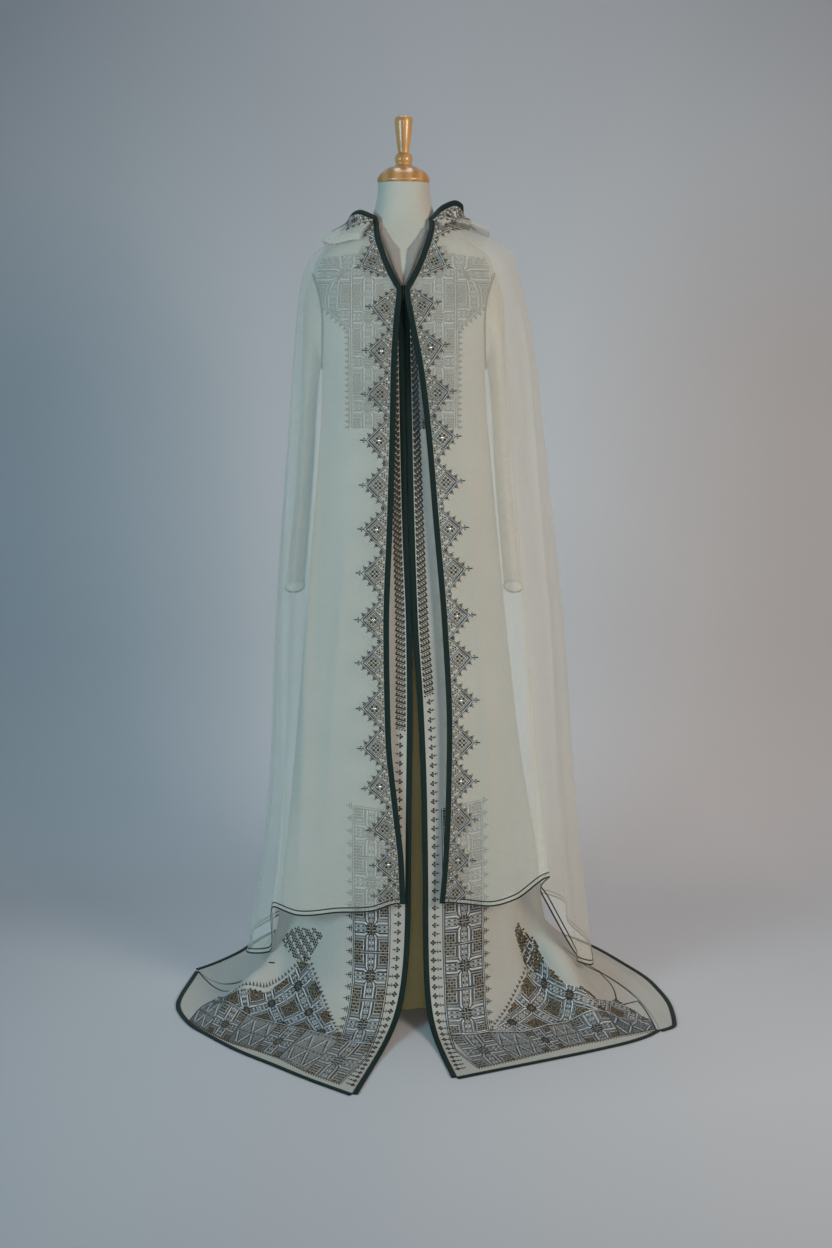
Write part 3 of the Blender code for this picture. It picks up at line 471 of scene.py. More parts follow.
def facing_surface(sign: int) -> Surface:
    """A turned-in neck facing: u runs inwards from the robe's neckline to the form, v up it."""

    def surface(u: Array, v: Array) -> Array:
        """Blends the neckline with the facing's inner edge."""
        angle = mix(*FACING_ANGLES, v)
        high = NECKLINE.read("robe_z", angle)
        outer = around(angle, oval_radius(ROBE_SECTIONS, angle, high) - SEAM_GAP, high)
        x = np.interp(v, FACING_MARKS, FACING_X)
        z = np.interp(v, FACING_MARKS, FACING_Z)
        turn = np.degrees(np.arctan2(x, FACING_AHEAD))
        inner = around(turn, oval_radius(FORM_SECTIONS, turn, z) + FACING_CLEARANCE, z)
        share = (u if sign > 0 else 1 - u)[..., None]
        swell = around(turn, FACING_SWELL * np.sin(math.pi * share[..., 0]), np.zeros_like(z))
        return (mix(inner, outer, share) + swell) * np.array((sign, 1.0, 1.0))

    return surface


def sleeve_surface(sign: int) -> Surface:
    """A hanging sleeve: u goes round it from the underarm, and v up to the armhole."""

    def armhole_ring(turn: Array) -> Array:
        """The ring that is sewn over the robe's armhole."""
        z = ARMHOLE_MIDDLE_Z - (ARMHOLE_HALF + SLEEVE_LAP) * np.cos(turn)
        angle = SIDE_ANGLE - (ARMHOLE_SPREAD + SLEEVE_LAP_ANGLE) * np.sin(turn)
        return around(angle, oval_radius(ROBE_SECTIONS, angle, z) + CLOTH + SLEEVE_SEAM_GAP, z)

    def ring_point(place: Array, turn: Array) -> Array:
        """A point of the sleeve below the armhole."""
        x, z, tilt, half_across, half_depth = SLEEVE_RINGS.read_all(place)
        tilt = np.radians(tilt)
        across = -np.cos(turn) * half_across
        back = SLEEVE_BACKSET * np.minimum(1.0, (ARMHOLE_HIGH_Z - z) / SLEEVE_BACKSET_RUN)
        y = back - np.sin(turn) * half_depth
        return np.stack((x + across * np.sin(tilt), y, z + across * np.cos(tilt)), axis=-1)

    def surface(u: Array, v: Array) -> Array:
        """The whole sleeve."""
        turn = 2 * math.pi * (u if sign > 0 else 1 - u)
        place = (1 - v) * len(SLEEVE_RINGS.key)
        top = mix(armhole_ring(turn), ring_point(np.ones_like(turn), turn), place[..., None])
        points = np.where((place <= 1)[..., None], top, ring_point(np.maximum(place, 1.0), turn))
        return points * np.array((sign, 1.0, 1.0))

    return surface


def cape_surface(sign: int) -> Surface:
    """A half of the cape: u runs across it towards +X at the front, and v up it."""
    lines = sorted(abs(angle) for angle in CAPE_LINES.key if angle * sign >= 0)
    columns = sorted(lines + [(a + b) / 2 for a, b in zip(lines, lines[1:])])

    def surface(u: Array, v: Array) -> Array:
        """The whole half, from the front edge to the centre back."""
        nominal = row_share(columns, u if sign > 0 else 1 - u)
        hem_z = CAPE_LINES.read("hem_z", sign * nominal)
        neck_z = NECKLINE.read("cape_z", nominal)
        z = mix(hem_z, neck_z, row_share(CAPE_ROWS, v))
        off = CAPE_BRAID_LINES.read(SIDES[sign], z) + sign * (BRAID_WIDTH / 2 + SEAM_GAP)
        edge = np.degrees(np.arcsin(off / oval_radius(CAPE_SECTIONS, 0.0, z)))
        shift = edge * np.maximum(0.0, 1 - nominal / HOOD_START_ANGLE)
        seam = seam_angle(CAPE_SECTIONS, 180.0, z)
        return CAPE.point(shift + sign * nominal * (1 - seam / 180.0), z)

    return surface


def hood_surface(u: Array, v: Array) -> Array:
    """The hood lying back: v runs from its rim down round its fold and up to its neck seam."""
    angle = mix(HOOD_START_ANGLE, 360.0 - HOOD_START_ANGLE, u)
    signed = np.where(angle <= 180.0, angle, angle - 360.0)
    drop, bag, rim_radius, rim_z = HOOD_ROWS.read_all(angle)
    neck_z = NECKLINE.read("cape_z", np.abs(signed))
    turn = np.radians(signed)
    level = np.stack((np.cos(turn), np.sin(turn), np.zeros_like(turn)), axis=-1)

    def over_cape(below: Array, clear: Array) -> Array:
        """A point above the cape, a drop below its neckline and clear of its cloth."""
        lower = CAPE.point(signed, neck_z - below - HOOD_SIGHT)
        here = CAPE.point(signed, neck_z - below + HOOD_SIGHT)
        out = unit(np.cross(level, here - lower))
        return (here + lower) / 2 + out * np.asarray(clear)[..., None]

    stops = [around(signed, rim_radius, rim_z)]
    for down, out in HOOD_STOPS:
        stops.append(over_cape(drop * down, HOOD_CLEARANCE + bag * out))
    stops.append(over_cape(HOOD_SEAM_DROP, np.full_like(angle, HOOD_CLEARANCE)))
    marks = np.linspace(0.0, 1.0, len(stops))
    return np.stack([smooth(marks, np.stack([s[..., k] for s in stops]), v) for k in range(3)], axis=-1)


# Panels as fine grids


class ClothGrid:
    """A panel's inner face on a fine grid, with its normals and its sizes along the cloth."""

    def __init__(
        self, surface: Surface, columns: int, rows: int, closed: bool = False, facing: float = 1.0,
        creases: Sequence[tuple[float, ...]] = ()
    ) -> None:
        """Works out the grid.

        Args:
            surface: the panel's inner face.
            columns: the cells across.
            rows: the cells up.
            closed: whether its two side edges meet.
            facing: 1 where u crossed with v points outwards, -1 where it points inwards.
            creases: soft ridges (or troughs): both ends as u and v, width and height.
        """
        self.cells = (columns, rows)
        self.closed = closed
        self.facing = facing
        u, v = np.meshgrid(
            np.linspace(0.0, 1.0, columns + 1), np.linspace(0.0, 1.0, rows + 1), indexing="ij"
        )
        self.points = surface(u, v)
        self._measure()
        if creases:
            self._press(u, v, creases)
            self._measure()

    def _measure(self) -> None:
        """Works out the normals and the lengths along the cloth."""
        points = self.points
        if self.closed:
            wrapped = np.concatenate((points[-2:-1], points, points[1:2]))
            over = (wrapped[2:] - wrapped[:-2]) / 2
        else:
            over = np.gradient(points, axis=0)
        self.steps = (over, np.gradient(points, axis=1))
        self.over, self.rising = unit(self.steps[0]), unit(self.steps[1])
        self.normals = unit(np.cross(self.over, self.rising)) * self.facing
        self.across = self._lengths(0)
        self.up = self._lengths(1)

    def _lengths(self, axis: int) -> Array:
        """Adds up the lengths along one axis of the grid."""
        steps = np.linalg.norm(np.diff(self.points, axis=axis), axis=-1)
        start = [(0, 0), (0, 0)]
        start[axis] = (1, 0)
        return np.pad(np.cumsum(steps, axis=axis), start)

    def _press(self, u: Array, v: Array, creases: Sequence[tuple[float, ...]]) -> None:
        """Moves the points along their normals by the creases."""
        width, height = self.across[-1].mean(), self.up.max()
        for u0, v0, u1, v1, wide, high in creases:
            ax, ay = (u1 - u0) * width, (v1 - v0) * height
            px, py = (u - u0) * width, (v - v0) * height
            along = np.clip((px * ax + py * ay) / (ax * ax + ay * ay), 0.0, 1.0)
            off = np.hypot(px - along * ax, py - along * ay) / wide
            swell = np.sin(np.clip(along, 0.02, 0.98) * math.pi) ** 0.5
            push = high * swell * np.exp(-(off**2))
            self.points = self.points + self.normals * push[..., None]

    def places(self) -> Array:
        """Gives each point's place along the cloth, in metres."""
        return np.stack((self.across, self.up), axis=-1)

    def area(self) -> float:
        """Gives the cloth's area in square metres."""
        p = self.points
        first = np.cross(p[1:, :-1] - p[:-1, :-1], p[1:, 1:] - p[:-1, :-1])
        second = np.cross(p[1:, 1:] - p[:-1, :-1], p[:-1, 1:] - p[:-1, :-1])
        halves = np.linalg.norm(first, axis=-1) + np.linalg.norm(second, axis=-1)
        return float(halves.sum() / 2)

    def read(self, field: Array, column: Array, row: Array) -> Array:
        """Reads a field of the grid at places counted in cells.

        Args:
            field: a value for each of the grid's points.
            column: how many cells across, fractions allowed.
            row: how many cells up.

        Returns:
            The field's values there.
        """
        column = np.clip(column, 0.0, self.cells[0] - 1e-6)
        row = np.clip(row, 0.0, self.cells[1] - 1e-6)
        i, j = column.astype(int), row.astype(int)
        s, t = (column - i)[:, None], (row - j)[:, None]
        low = field[i, j] * (1 - s) + field[i + 1, j] * s
        high = field[i, j + 1] * (1 - s) + field[i + 1, j + 1] * s
        return low * (1 - t) + high * t

    def place(self, column: Array, row: Array) -> tuple[Array, Array]:
        """Reads points and outward normals at places counted in cells."""
        points, normals = (self.read(field, column, row) for field in (self.points, self.normals))
        return points, unit(normals)


# Making meshes


def clear_selection() -> None:
    """Leaves nothing selected and nothing active."""
    bpy.ops.object.select_all(action="DESELECT")
    bpy.context.view_layer.objects.active = None


def take_new(name: str) -> Piece:
    """Names the object that an operator has just added."""
    piece = bpy.context.object
    piece.name = name
    piece.data.name = name
    return piece


def work_on(piece: Piece) -> None:
    """Makes a piece the only one selected."""
    clear_selection()
    piece.select_set(True)
    bpy.context.view_layer.objects.active = piece


def apply_modifier(piece: Piece, kind: str, **settings: object) -> None:
    """Adds a modifier to a piece and applies it."""
    work_on(piece)
    modifier = piece.modifiers.new(kind.lower(), kind)
    for name, value in settings.items():
        setattr(modifier, name, value)
    bpy.ops.object.modifier_apply(modifier=modifier.name)


def smooth_over(piece: Piece, degrees: float) -> None:
    """Shades a piece smooth, apart from its sharper edges."""
    work_on(piece)
    bpy.ops.object.shade_smooth_by_angle(angle=math.radians(degrees))


def in_edit_mode(piece: Piece, *steps: Callable[[], object]) -> None:
    """Runs editing steps on the whole of a piece."""
    work_on(piece)
    bpy.ops.object.mode_set(mode="EDIT")
    bpy.ops.mesh.select_all(action="SELECT")
    for step in steps:
        step()
    bpy.ops.object.mode_set(mode="OBJECT")


def set_map(mesh: bpy.types.Mesh, name: str, per_vertex: Array) -> None:
    """Writes a mesh's only map of places, given for each vertex."""
    while mesh.uv_layers:
        mesh.uv_layers.remove(mesh.uv_layers[0])
    layer = mesh.uv_layers.new(name=name)
    corners = np.empty(len(mesh.loops), int)
    mesh.loops.foreach_get("vertex_index", corners)
    layer.data.foreach_set("uv", np.ascontiguousarray(per_vertex[corners]).ravel())


def bend_grid(name: str, points: Array, places: Array, closed: bool = False) -> Piece:
    """Makes a grid of faces and bends it onto points.

    Args:
        name: the piece's name.
        points: the grid's points, as columns, rows and 3.
        places: each point's place along the cloth, in metres, as columns, rows and 2.
        closed: whether the side edges are joined.

    Returns:
        The sheet, without a wall.
    """
    columns, rows = points.shape[0] - 1, points.shape[1] - 1
    clear_selection()
    bpy.ops.mesh.primitive_grid_add(x_subdivisions=columns, y_subdivisions=rows, size=2.0)
    piece = take_new(name)
    mesh = piece.data
    flat = np.empty(len(mesh.vertices) * 3)
    mesh.vertices.foreach_get("co", flat)
    flat = flat.reshape(-1, 3)
    i = np.rint((flat[:, 0] + 1) / 2 * columns).astype(int)
    j = np.rint((flat[:, 1] + 1) / 2 * rows).astype(int)
    mesh.vertices.foreach_set("co", points[i, j].ravel())
    set_map(mesh, CLOTH_MAP, places[i, j])
    if closed:
        in_edit_mode(piece, lambda: bpy.ops.mesh.remove_doubles(threshold=1e-6))
    return piece


def close_up(piece: Piece) -> None:
    """Fills a piece's open ends, turns its faces outwards and shades it smooth."""
    in_edit_mode(
        piece, lambda: bpy.ops.mesh.fill_holes(sides=0), lambda: bpy.ops.mesh.select_all(action="SELECT"),
        lambda: bpy.ops.mesh.normals_make_consistent(inside=False)
    )
    smooth_over(piece, 50.0)


def sew_sheet(name: str, grid: ClothGrid, wall: float) -> Piece:
    """Makes a cloth piece from its grid: a sheet with a wall of even thickness."""
    piece = bend_grid(name, grid.points, grid.places(), grid.closed)
    apply_modifier(piece, "SOLIDIFY", thickness=wall, offset=grid.facing, use_even_offset=False)
    smooth_over(piece, 55.0)
    return piece


def sweep(name: str, path: Array, sides: Array, tops: Array, outline: Array) -> Piece:
    """Sweeps a closed outline along a path, with both ends closed.

    Args:
        name: the piece's name.
        path: the points of the way.
        sides: for each point, the direction of the outline's first coordinate.
        tops: for each point, the direction of the outline's second coordinate.
        outline: the section's points, in metres.

    Returns:
        The closed piece, with its length and girth as its map.
    """
    ring = np.concatenate((outline, outline[:1]))
    points = (path[:, None] + sides[:, None] * ring[None, :, :1] + tops[:, None] * ring[None, :, 1:])
    places = np.stack(np.meshgrid(run_length(path), run_length(ring), indexing="ij"), axis=-1)
    piece = bend_grid(name, points, places, closed=True)
    close_up(piece)
    return piece


def rounded_outline(width: float, height: float, points: int, power: float = 2.6) -> Array:
    """Gives a soft-cornered section, its middle at the origin."""
    turn = np.linspace(0.0, 2 * math.pi, points, endpoint=False)
    across, up = np.cos(turn), np.sin(turn)
    x = np.sign(across) * np.abs(across) ** (2 / power) * width / 2
    y = np.sign(up) * np.abs(up) ** (2 / power) * height / 2
    return np.stack((x, y), axis=-1)


def thin_out(path: Array, step: float) -> Array:
    """Gives places along a path at an even step, as shares of its index."""
    length = run_length(path)
    count = max(2, int(round(length[-1] / step)) + 1)
    return np.interp(np.linspace(0.0, length[-1], count), length, np.arange(len(path)))


def read_along(values: Array, at: Array) -> Array:
    """Reads rows of values at fractional places."""
    k = np.clip(at.astype(int), 0, len(values) - 2)
    part = (at - k)[:, None]
    return values[k] * (1 - part) + values[k + 1] * part


def edge_trim(
    name: str, edge: Array, away: Array, normals: Array, reach: Place,
    height: Place, step: float = 0.006, points: int = 12
) -> Piece:
    """Sews a rounded braid or cord along an edge.

    Args:
        name: the piece's name.
        edge: the edge's points.
        away: for each point, the direction away from the cloth.
        normals: for each point, the cloth's outward normal.
        reach: where the trim begins and ends, measured away from the edge.
        height: where the trim's underside and crown lie, measured outwards.
        step: the length of its rings.
        points: the points round it.

    Returns:
        The closed piece.
    """
    at = thin_out(edge, step)
    path, side, top = (read_along(values, at) for values in (edge, away, normals))
    top = unit(top)
    side = unit(side - top * (side * top).sum(axis=1, keepdims=True))
    middle = path + side * sum(reach) / 2 + top * sum(height) / 2
    middle[:, 2] = np.maximum(middle[:, 2], FLOOR_REST + (height[1] - height[0]) * 0.5)
    outline = rounded_outline(reach[1] - reach[0], height[1] - height[0], points)
    return sweep(name, middle, side, top, outline)


def turn_on_lathe(name: str, profile: Line, segments: int) -> Piece:
    """Turns a piece round the axis, ring after ring from its first point to its last.

    Args:
        name: the piece's name.
        profile: radius and height of each ring; the ends are closed.
        segments: the faces round it.

    Returns:
        The closed piece, without a finish.
    """
    radius, height = profile[0]
    clear_selection()
    bpy.ops.mesh.primitive_circle_add(
        vertices=segments, radius=radius, location=(0.0, 0.0, height), fill_type="TRIFAN"
    )
    piece = take_new(name)
    bpy.ops.object.transform_apply(location=True)
    bpy.ops.object.mode_set(mode="EDIT")
    bpy.ops.mesh.select_mode(type="VERT")
    bpy.ops.mesh.select_all(action="DESELECT")
    bpy.ops.mesh.select_non_manifold()
    for (wide, high), (next_wide, next_high) in zip(profile, profile[1:]):
        bpy.ops.mesh.extrude_region_move(TRANSFORM_OT_translate={"value": (0.0, 0.0, next_high - high)})
        grow = next_wide / wide
        bpy.ops.transform.resize(value=(grow, grow, 1.0), center_override=(0.0, 0.0, next_high))
    bpy.ops.mesh.edge_face_add()
    bpy.ops.mesh.select_all(action="SELECT")
    bpy.ops.mesh.normals_make_consistent(inside=False)
    bpy.ops.object.mode_set(mode="OBJECT")
    smooth_over(piece, 35.0)
    return piece


# Finishes

Colour = tuple[float, float, float]


def opaque(colour: Colour) -> tuple[float, float, float, float]:
    """Gives a colour its fourth number."""
    return (*colour, 1.0)


class Nodes:
    """Places and joins the nodes of one tree."""

    def __init__(self, tree: Tree) -> None:
        """Takes the tree to work in."""
        self.tree = tree

    def give(self, socket: Socket, value: object) -> None:
        """Sets a socket, or joins another node's output to it."""
        if isinstance(value, Socket):
            self.tree.links.new(value, socket)
        else:
            socket.default_value = value

    def add(self, kind: str, inputs: dict[str | int, object] | None = None, **settings: object) -> Node:
        """Adds a node.

        Args:
            kind: the node's type.
            inputs: values, or outputs of other nodes, for its inputs.
            settings: its own settings.

        Returns:
            The node.
        """
        node = self.tree.nodes.new(kind)
        for name, value in settings.items():
            setattr(node, name, value)
        for name, value in (inputs or {}).items():
            self.give(node.inputs[name], value)
        return node

    def maths(self, what: str, *values: object) -> Socket:
        """Works out one number."""
        return self.add("ShaderNodeMath", dict(enumerate(values)), operation=what).outputs[0]

    def colour_mix(self, share: Socket, first: Colour, second: Colour) -> Socket:
        """Mixes two colours."""
        inputs = {0: share, 6: opaque(first), 7: opaque(second)}
        return self.add("ShaderNodeMix", inputs, data_type="RGBA").outputs[2]

    def ramp(self, value: Socket, low: float, high: float) -> Socket:
        """Stretches a number from a range onto 0 to 1."""
        return self.add("ShaderNodeMapRange", {0: value, 1: low, 2: high}).outputs[0]

    def stretch(self, place: Socket, *scale: float) -> Socket:
        """Stretches places along each axis."""
        return self.add("ShaderNodeMapping", {"Vector": place, "Scale": scale}).outputs[0]

    def noise(self, place: Socket, scale: float, detail: float = 2.0, twist: float = 0.0) -> Socket:
        """Makes a cloudy number."""
        inputs = {"Vector": place, "Scale": scale, "Detail": detail, "Distortion": twist}
        return self.add("ShaderNodeTexNoise", inputs).outputs[0]

    def ridges(self, place: Socket, count: Socket) -> Socket:
        """Makes even ridges, so many to the metre."""
        turn = self.maths("MULTIPLY", self.maths("MULTIPLY", place, count), math.pi)
        return self.maths("ABSOLUTE", self.maths("SINE", turn))

    def give_out(self, *values: Socket) -> Tree:
        """Ends a group with its outputs."""
        self.add("NodeGroupOutput", dict(enumerate(values)))
        return self.tree


def new_group(name: str, count: str, *results: str) -> tuple[Nodes, Socket, Socket, Sequence[Socket]]:
    """Starts a shared group that works out numbers from a place and a count.

    Args:
        name: the group's name.
        count: what is counted to the metre.
        results: the outputs' names.

    Returns:
        Its node maker, the place, the count, and the place's numbers one by one.
    """
    group = bpy.data.node_groups.new(name, "ShaderNodeTree")
    sockets = [("Place", "INPUT", "NodeSocketVector"), (count, "INPUT", "NodeSocketFloat")]
    sockets += [(label, "OUTPUT", "NodeSocketFloat") for label in results]
    for label, way, kind in sockets:
        group.interface.new_socket(label, in_out=way, socket_type=kind)
    make = Nodes(group)
    place, number = make.add("NodeGroupInput").outputs[:2]
    return make, place, number, make.add("ShaderNodeSeparateXYZ", {0: place}).outputs


class Effects:
    """Shared effects, each built once: a plain weave, a braid's plait and a thread's twist."""

    def __init__(self) -> None:
        """Builds the groups."""
        self.weave = self._weave()
        self.plait = self._plait()
        self.twist = self._twist()

    def _weave(self) -> Tree:
        """Builds a plain weave with slubs, as a height and a soft tone."""
        make, place, count, axes = new_group("plain_weave", "Threads", "Height", "Tone")
        threads = make.maths("MULTIPLY", make.ridges(axes[0], count), make.ridges(axes[1], count))
        slub = make.noise(make.stretch(place, 60.0, 900.0, 1.0), 1.0)
        broad = make.maths("MULTIPLY", make.noise(place, 7.0, 3.0), 0.55)
        tone = make.maths("MULTIPLY_ADD", slub, 0.45, broad)
        return make.give_out(make.maths("MULTIPLY_ADD", slub, 0.8, threads), tone)

    def _plait(self) -> Tree:
        """Builds a flat braid's herringbone, from its place along and round it."""
        make, place, count, axes = new_group("flat_plait", "Strands", "Height")
        slant = make.maths("ADD", axes[0], make.maths("PINGPONG", axes[1], 0.0028))
        fibre = make.noise(place, 1500.0)
        return make.give_out(make.maths("MULTIPLY_ADD", fibre, 0.25, make.ridges(slant, count)))

    def _twist(self) -> Tree:
        """Builds the slanting plies of a thread, from its place along and across it."""
        make, place, count, axes = new_group("thread_twist", "Plies", "Height", "Tone")
        slant = make.maths("ADD", axes[0], axes[1])
        return make.give_out(make.ridges(slant, count), make.noise(place, 60.0))


class Principal:
    """A material's main shader, with its constants set on its own sockets."""

    def __init__(self, name: str) -> None:
        """Starts the material."""
        self.material = bpy.data.materials.new(name)
        self.material.use_nodes = True
        self.make = Nodes(self.material.node_tree)
        self.shader = self.material.node_tree.nodes["Principled BSDF"]

    def set(self, **values: object) -> None:
        """Sets sockets by name, with underscores for blanks."""
        for name, value in values.items():
            label = name.replace("_", " ").title().replace("Ior", "IOR")
            self.make.give(self.shader.inputs[label], value)

    def bump(self, height: Socket, depth: float) -> None:
        """Gives the surface a relief, its depth in metres."""
        inputs = {"Strength": 1.0, "Distance": depth, "Height": height}
        self.set(normal=self.make.add("ShaderNodeBump", inputs).outputs[0])

    def object_place(self) -> Socket:
        """Reads the place in the object."""
        return self.make.add("ShaderNodeTexCoord").outputs["Object"]

    def group(self, tree: Tree, **inputs: object) -> Sequence[Socket]:
        """Places a shared group on the piece's own map, and gives what it puts out."""
        place = self.make.add("ShaderNodeUVMap", uv_map=CLOTH_MAP).outputs[0]
        return self.make.add("ShaderNodeGroup", {"Place": place, **inputs}, node_tree=tree).outputs


@dataclass(frozen=True)
class Finish:
    """A finish in one tone, or in two that its surface mixes."""

    name: str
    light: Colour
    deep: Colour | None = None

    def build(self, effects: Effects) -> Material:
        """Makes the material.

        Args:
            effects: the shared groups.

        Returns:
            The material.
        """
        body = Principal(self.name)
        share = self.surface(body, effects)
        tone = opaque(self.light)
        if self.deep:
            tone = body.make.colour_mix(share, self.deep, self.light)
        body.set(base_color=tone)
        return body.material

    def surface(self, body: Principal, effects: Effects) -> Socket:
        """Sets all but the colour.

        Args:
            body: the material's main shader.
            effects: the shared groups.

        Returns:
            The light tone's share.
        """
        raise NotImplementedError


@dataclass(frozen=True)
class ClothFinish(Finish):
    """A woven cloth: how far it covers what is behind it, and its weave."""

    alpha: float = 1.0
    roughness: float = 0.7
    sheen: float = 0.3
    threads: float = 2600.0
    relief: float = 0.00012

    def surface(self, body: Principal, effects: Effects) -> Socket:
        """Weaves the cloth.

        Args:
            body: the material's main shader.
            effects: the shared groups.

        Returns:
            The light tone's share.
        """
        weave = body.group(effects.weave, Threads=self.threads)
        body.set(roughness=self.roughness, sheen_weight=self.sheen, sheen_roughness=0.45)
        body.set(specular_ior_level=0.28)
        if self.alpha < 1.0:
            thread = body.make.ramp(weave["Height"], 0.2, 1.4)
            body.set(alpha=body.make.maths("MULTIPLY_ADD", thread, 0.16, self.alpha - 0.07))
        body.bump(weave["Height"], self.relief)
        return body.make.ramp(weave["Tone"], 0.34, 0.66)


@dataclass(frozen=True)
class BraidFinish(Finish):
    """A plaited silk braid or cord."""

    strands: float = 420.0
    relief: float = 0.0005

    def surface(self, body: Principal, effects: Effects) -> Socket:
        """Plaits the braid.

        Args:
            body: the material's main shader.
            effects: the shared groups.

        Returns:
            The light tone's share.
        """
        height = body.group(effects.plait, Strands=self.strands)["Height"]
        body.set(roughness=0.55, sheen_weight=0.04, sheen_roughness=0.35, specular_ior_level=0.25)
        body.bump(height, self.relief)
        return body.make.ramp(height, 0.1, 1.2)


@dataclass(frozen=True)
class ThreadFinish(Finish):
    """A stitching thread: silk or metal."""

    metallic: float = 0.0
    roughness: float = 0.5
    plies: float = 900.0

    def surface(self, body: Principal, effects: Effects) -> Socket:
        """Twists the thread.

        Args:
            body: the material's main shader.
            effects: the shared groups.

        Returns:
            The light tone's share.
        """
        twist = body.group(effects.twist, Plies=self.plies)
        body.set(metallic=self.metallic, roughness=self.roughness, specular_ior_level=0.4)
        body.bump(twist["Height"], 0.00015)
        return body.make.ramp(twist["Tone"], 0.3, 0.7)


@dataclass(frozen=True)
class WoodFinish(Finish):
    """Turned and varnished wood, its grain running up the piece."""

    def surface(self, body: Principal, effects: Effects) -> Socket:
        """Grains the wood.

        Args:
            body: the material's main shader.
            effects: the shared groups.

        Returns:
            The light tone's share.
        """
        place = body.make.stretch(body.object_place(), 46.0, 46.0, 4.5)
        grain = body.make.noise(place, 2.2, 6.0, 0.9)
        inputs = {"Vector": place, "Scale": 0.32, "Distortion": 5.0, "Detail": 2.0}
        rings = body.make.add("ShaderNodeTexWave", inputs).outputs["Fac"]
        both = body.make.maths("MULTIPLY_ADD", grain, 0.6, body.make.maths("MULTIPLY", rings, 0.4))
        body.set(roughness=0.32, coat_weight=0.6, coat_roughness=0.12)
        body.bump(grain, 0.0001)
        return body.make.ramp(both, 0.25, 0.75)


@dataclass(frozen=True)
class MetalFinish(Finish):
    """Brushed or polished metal, in one tone."""

    roughness: float = 0.3
    brushing: float = 900.0

    def surface(self, body: Principal, effects: Effects) -> Socket:
        """Brushes the metal.

        Args:
            body: the material's main shader.
            effects: the shared groups.

        Returns:
            The light tone's share.
        """
        lines = body.make.noise(body.make.stretch(body.object_place(), 30.0, 30.0, self.brushing), 1.0)
        worn = body.make.ramp(lines, 0.2, 0.8)
        body.set(metallic=1.0, roughness=body.make.maths("MULTIPLY_ADD", worn, 0.14, self.roughness))
        body.bump(lines, 0.00005)
        return worn


@dataclass(frozen=True)
class ShadedPaperFinish(Finish):
    """The studio's seamless paper, with painted shade: it darkens away from its middle, standing in for
    the lamps' light falling off.
    """

    # The painted shade's lightest point (added to the place, so given negated), and the distances at
    # which the paper has its light tone and its deep, painted-shade tone.
    middle: Colour = (-0.35, -0.15, -0.5)
    near: float = 0.8
    far: float = 2.05

    def surface(self, body: Principal, effects: Effects) -> Socket:
        """Paints shade on the paper, darker away from its middle where the lamps fall brightest, and lets
        it be looked through from its back.

        Args:
            body: the material's main shader.
            effects: the shared groups.

        Returns:
            The light tone's share.
        """
        make, place = body.make, body.object_place()
        moved = make.add("ShaderNodeVectorMath", {0: place, 1: self.middle}, operation="ADD").outputs[0]
        away = make.add("ShaderNodeVectorMath", {0: moved}, operation="LENGTH").outputs["Value"]
        mottle = make.maths("MULTIPLY", make.noise(place, 1.4), 0.12)
        body.set(roughness=0.9, specular_ior_level=0.1)
        behind = make.add("ShaderNodeNewGeometry").outputs["Backfacing"]
        clear = make.add("ShaderNodeBsdfTransparent").outputs[0]
        both = make.add("ShaderNodeMixShader", {0: behind, 1: body.shader.outputs[0], 2: clear})
        make.give(make.tree.nodes["Material Output"].inputs["Surface"], both.outputs[0])
        # The light tone's share: painted shade deepens from the middle out to the far distance.
        return make.ramp(make.maths("SUBTRACT", away, mottle), self.far, self.near)


class Look(Enum):
    """Every finish of the garment, its form and the studio."""

    FORM_COVER = ClothFinish(
        "form_cover", (0.58, 0.56, 0.49), (0.51, 0.49, 0.425), roughness=0.8, threads=1400.0
    )
    ROBE = ClothFinish(
        "robe_cloth", (0.60, 0.582, 0.53), (0.535, 0.517, 0.47), alpha=0.86, roughness=0.66, sheen=0.25,
        threads=2200.0
    )
    # The neck facing is robe cloth in a darker tone: painted shade inside the neckline.
    FACING = ClothFinish("shaded_facing_cloth", (0.40, 0.36, 0.33), (0.33, 0.295, 0.265))
    SLEEVE = ClothFinish("sleeve_cloth", (0.90, 0.79, 0.65), (0.83, 0.72, 0.58), alpha=0.30)
    CAPE = ClothFinish("cape_cloth", (0.93, 0.92, 0.83), (0.86, 0.85, 0.76), alpha=0.21, sheen=0.25)
    UNDERSKIRT = ClothFinish("lining_cloth", (0.97, 0.86, 0.46), (0.88, 0.77, 0.40), roughness=0.42)
    BRAID = BraidFinish("dark_braid", (0.006, 0.027, 0.023), (0.001, 0.006, 0.005))
    DARK = ThreadFinish("dark_thread", (0.042, 0.041, 0.036), (0.012, 0.012, 0.011))
    GOLD = ThreadFinish("gold_brown_thread", (0.28, 0.195, 0.085), (0.11, 0.074, 0.030), 0.25, 0.42)
    SILVER = ThreadFinish("silver_thread", (0.74, 0.75, 0.75), (0.48, 0.49, 0.50), 0.40, 0.38)
    GREY = ThreadFinish("grey_thread", (0.18, 0.21, 0.245), (0.10, 0.12, 0.145), 0.30, 0.45)
    MIRROR = MetalFinish("round_mirror", (0.86, 0.88, 0.90), roughness=0.05, brushing=60.0)
    WOOD = WoodFinish("form_wood", (0.66, 0.36, 0.13), (0.42, 0.19, 0.055))
    STEEL = MetalFinish("form_metal", (0.46, 0.46, 0.47), roughness=0.28)
    # The deep tone is painted shade towards the paper's edges.
    PAPER = ShadedPaperFinish("studio_paper_painted_shade", (0.62, 0.62, 0.65), (0.26, 0.265, 0.29))


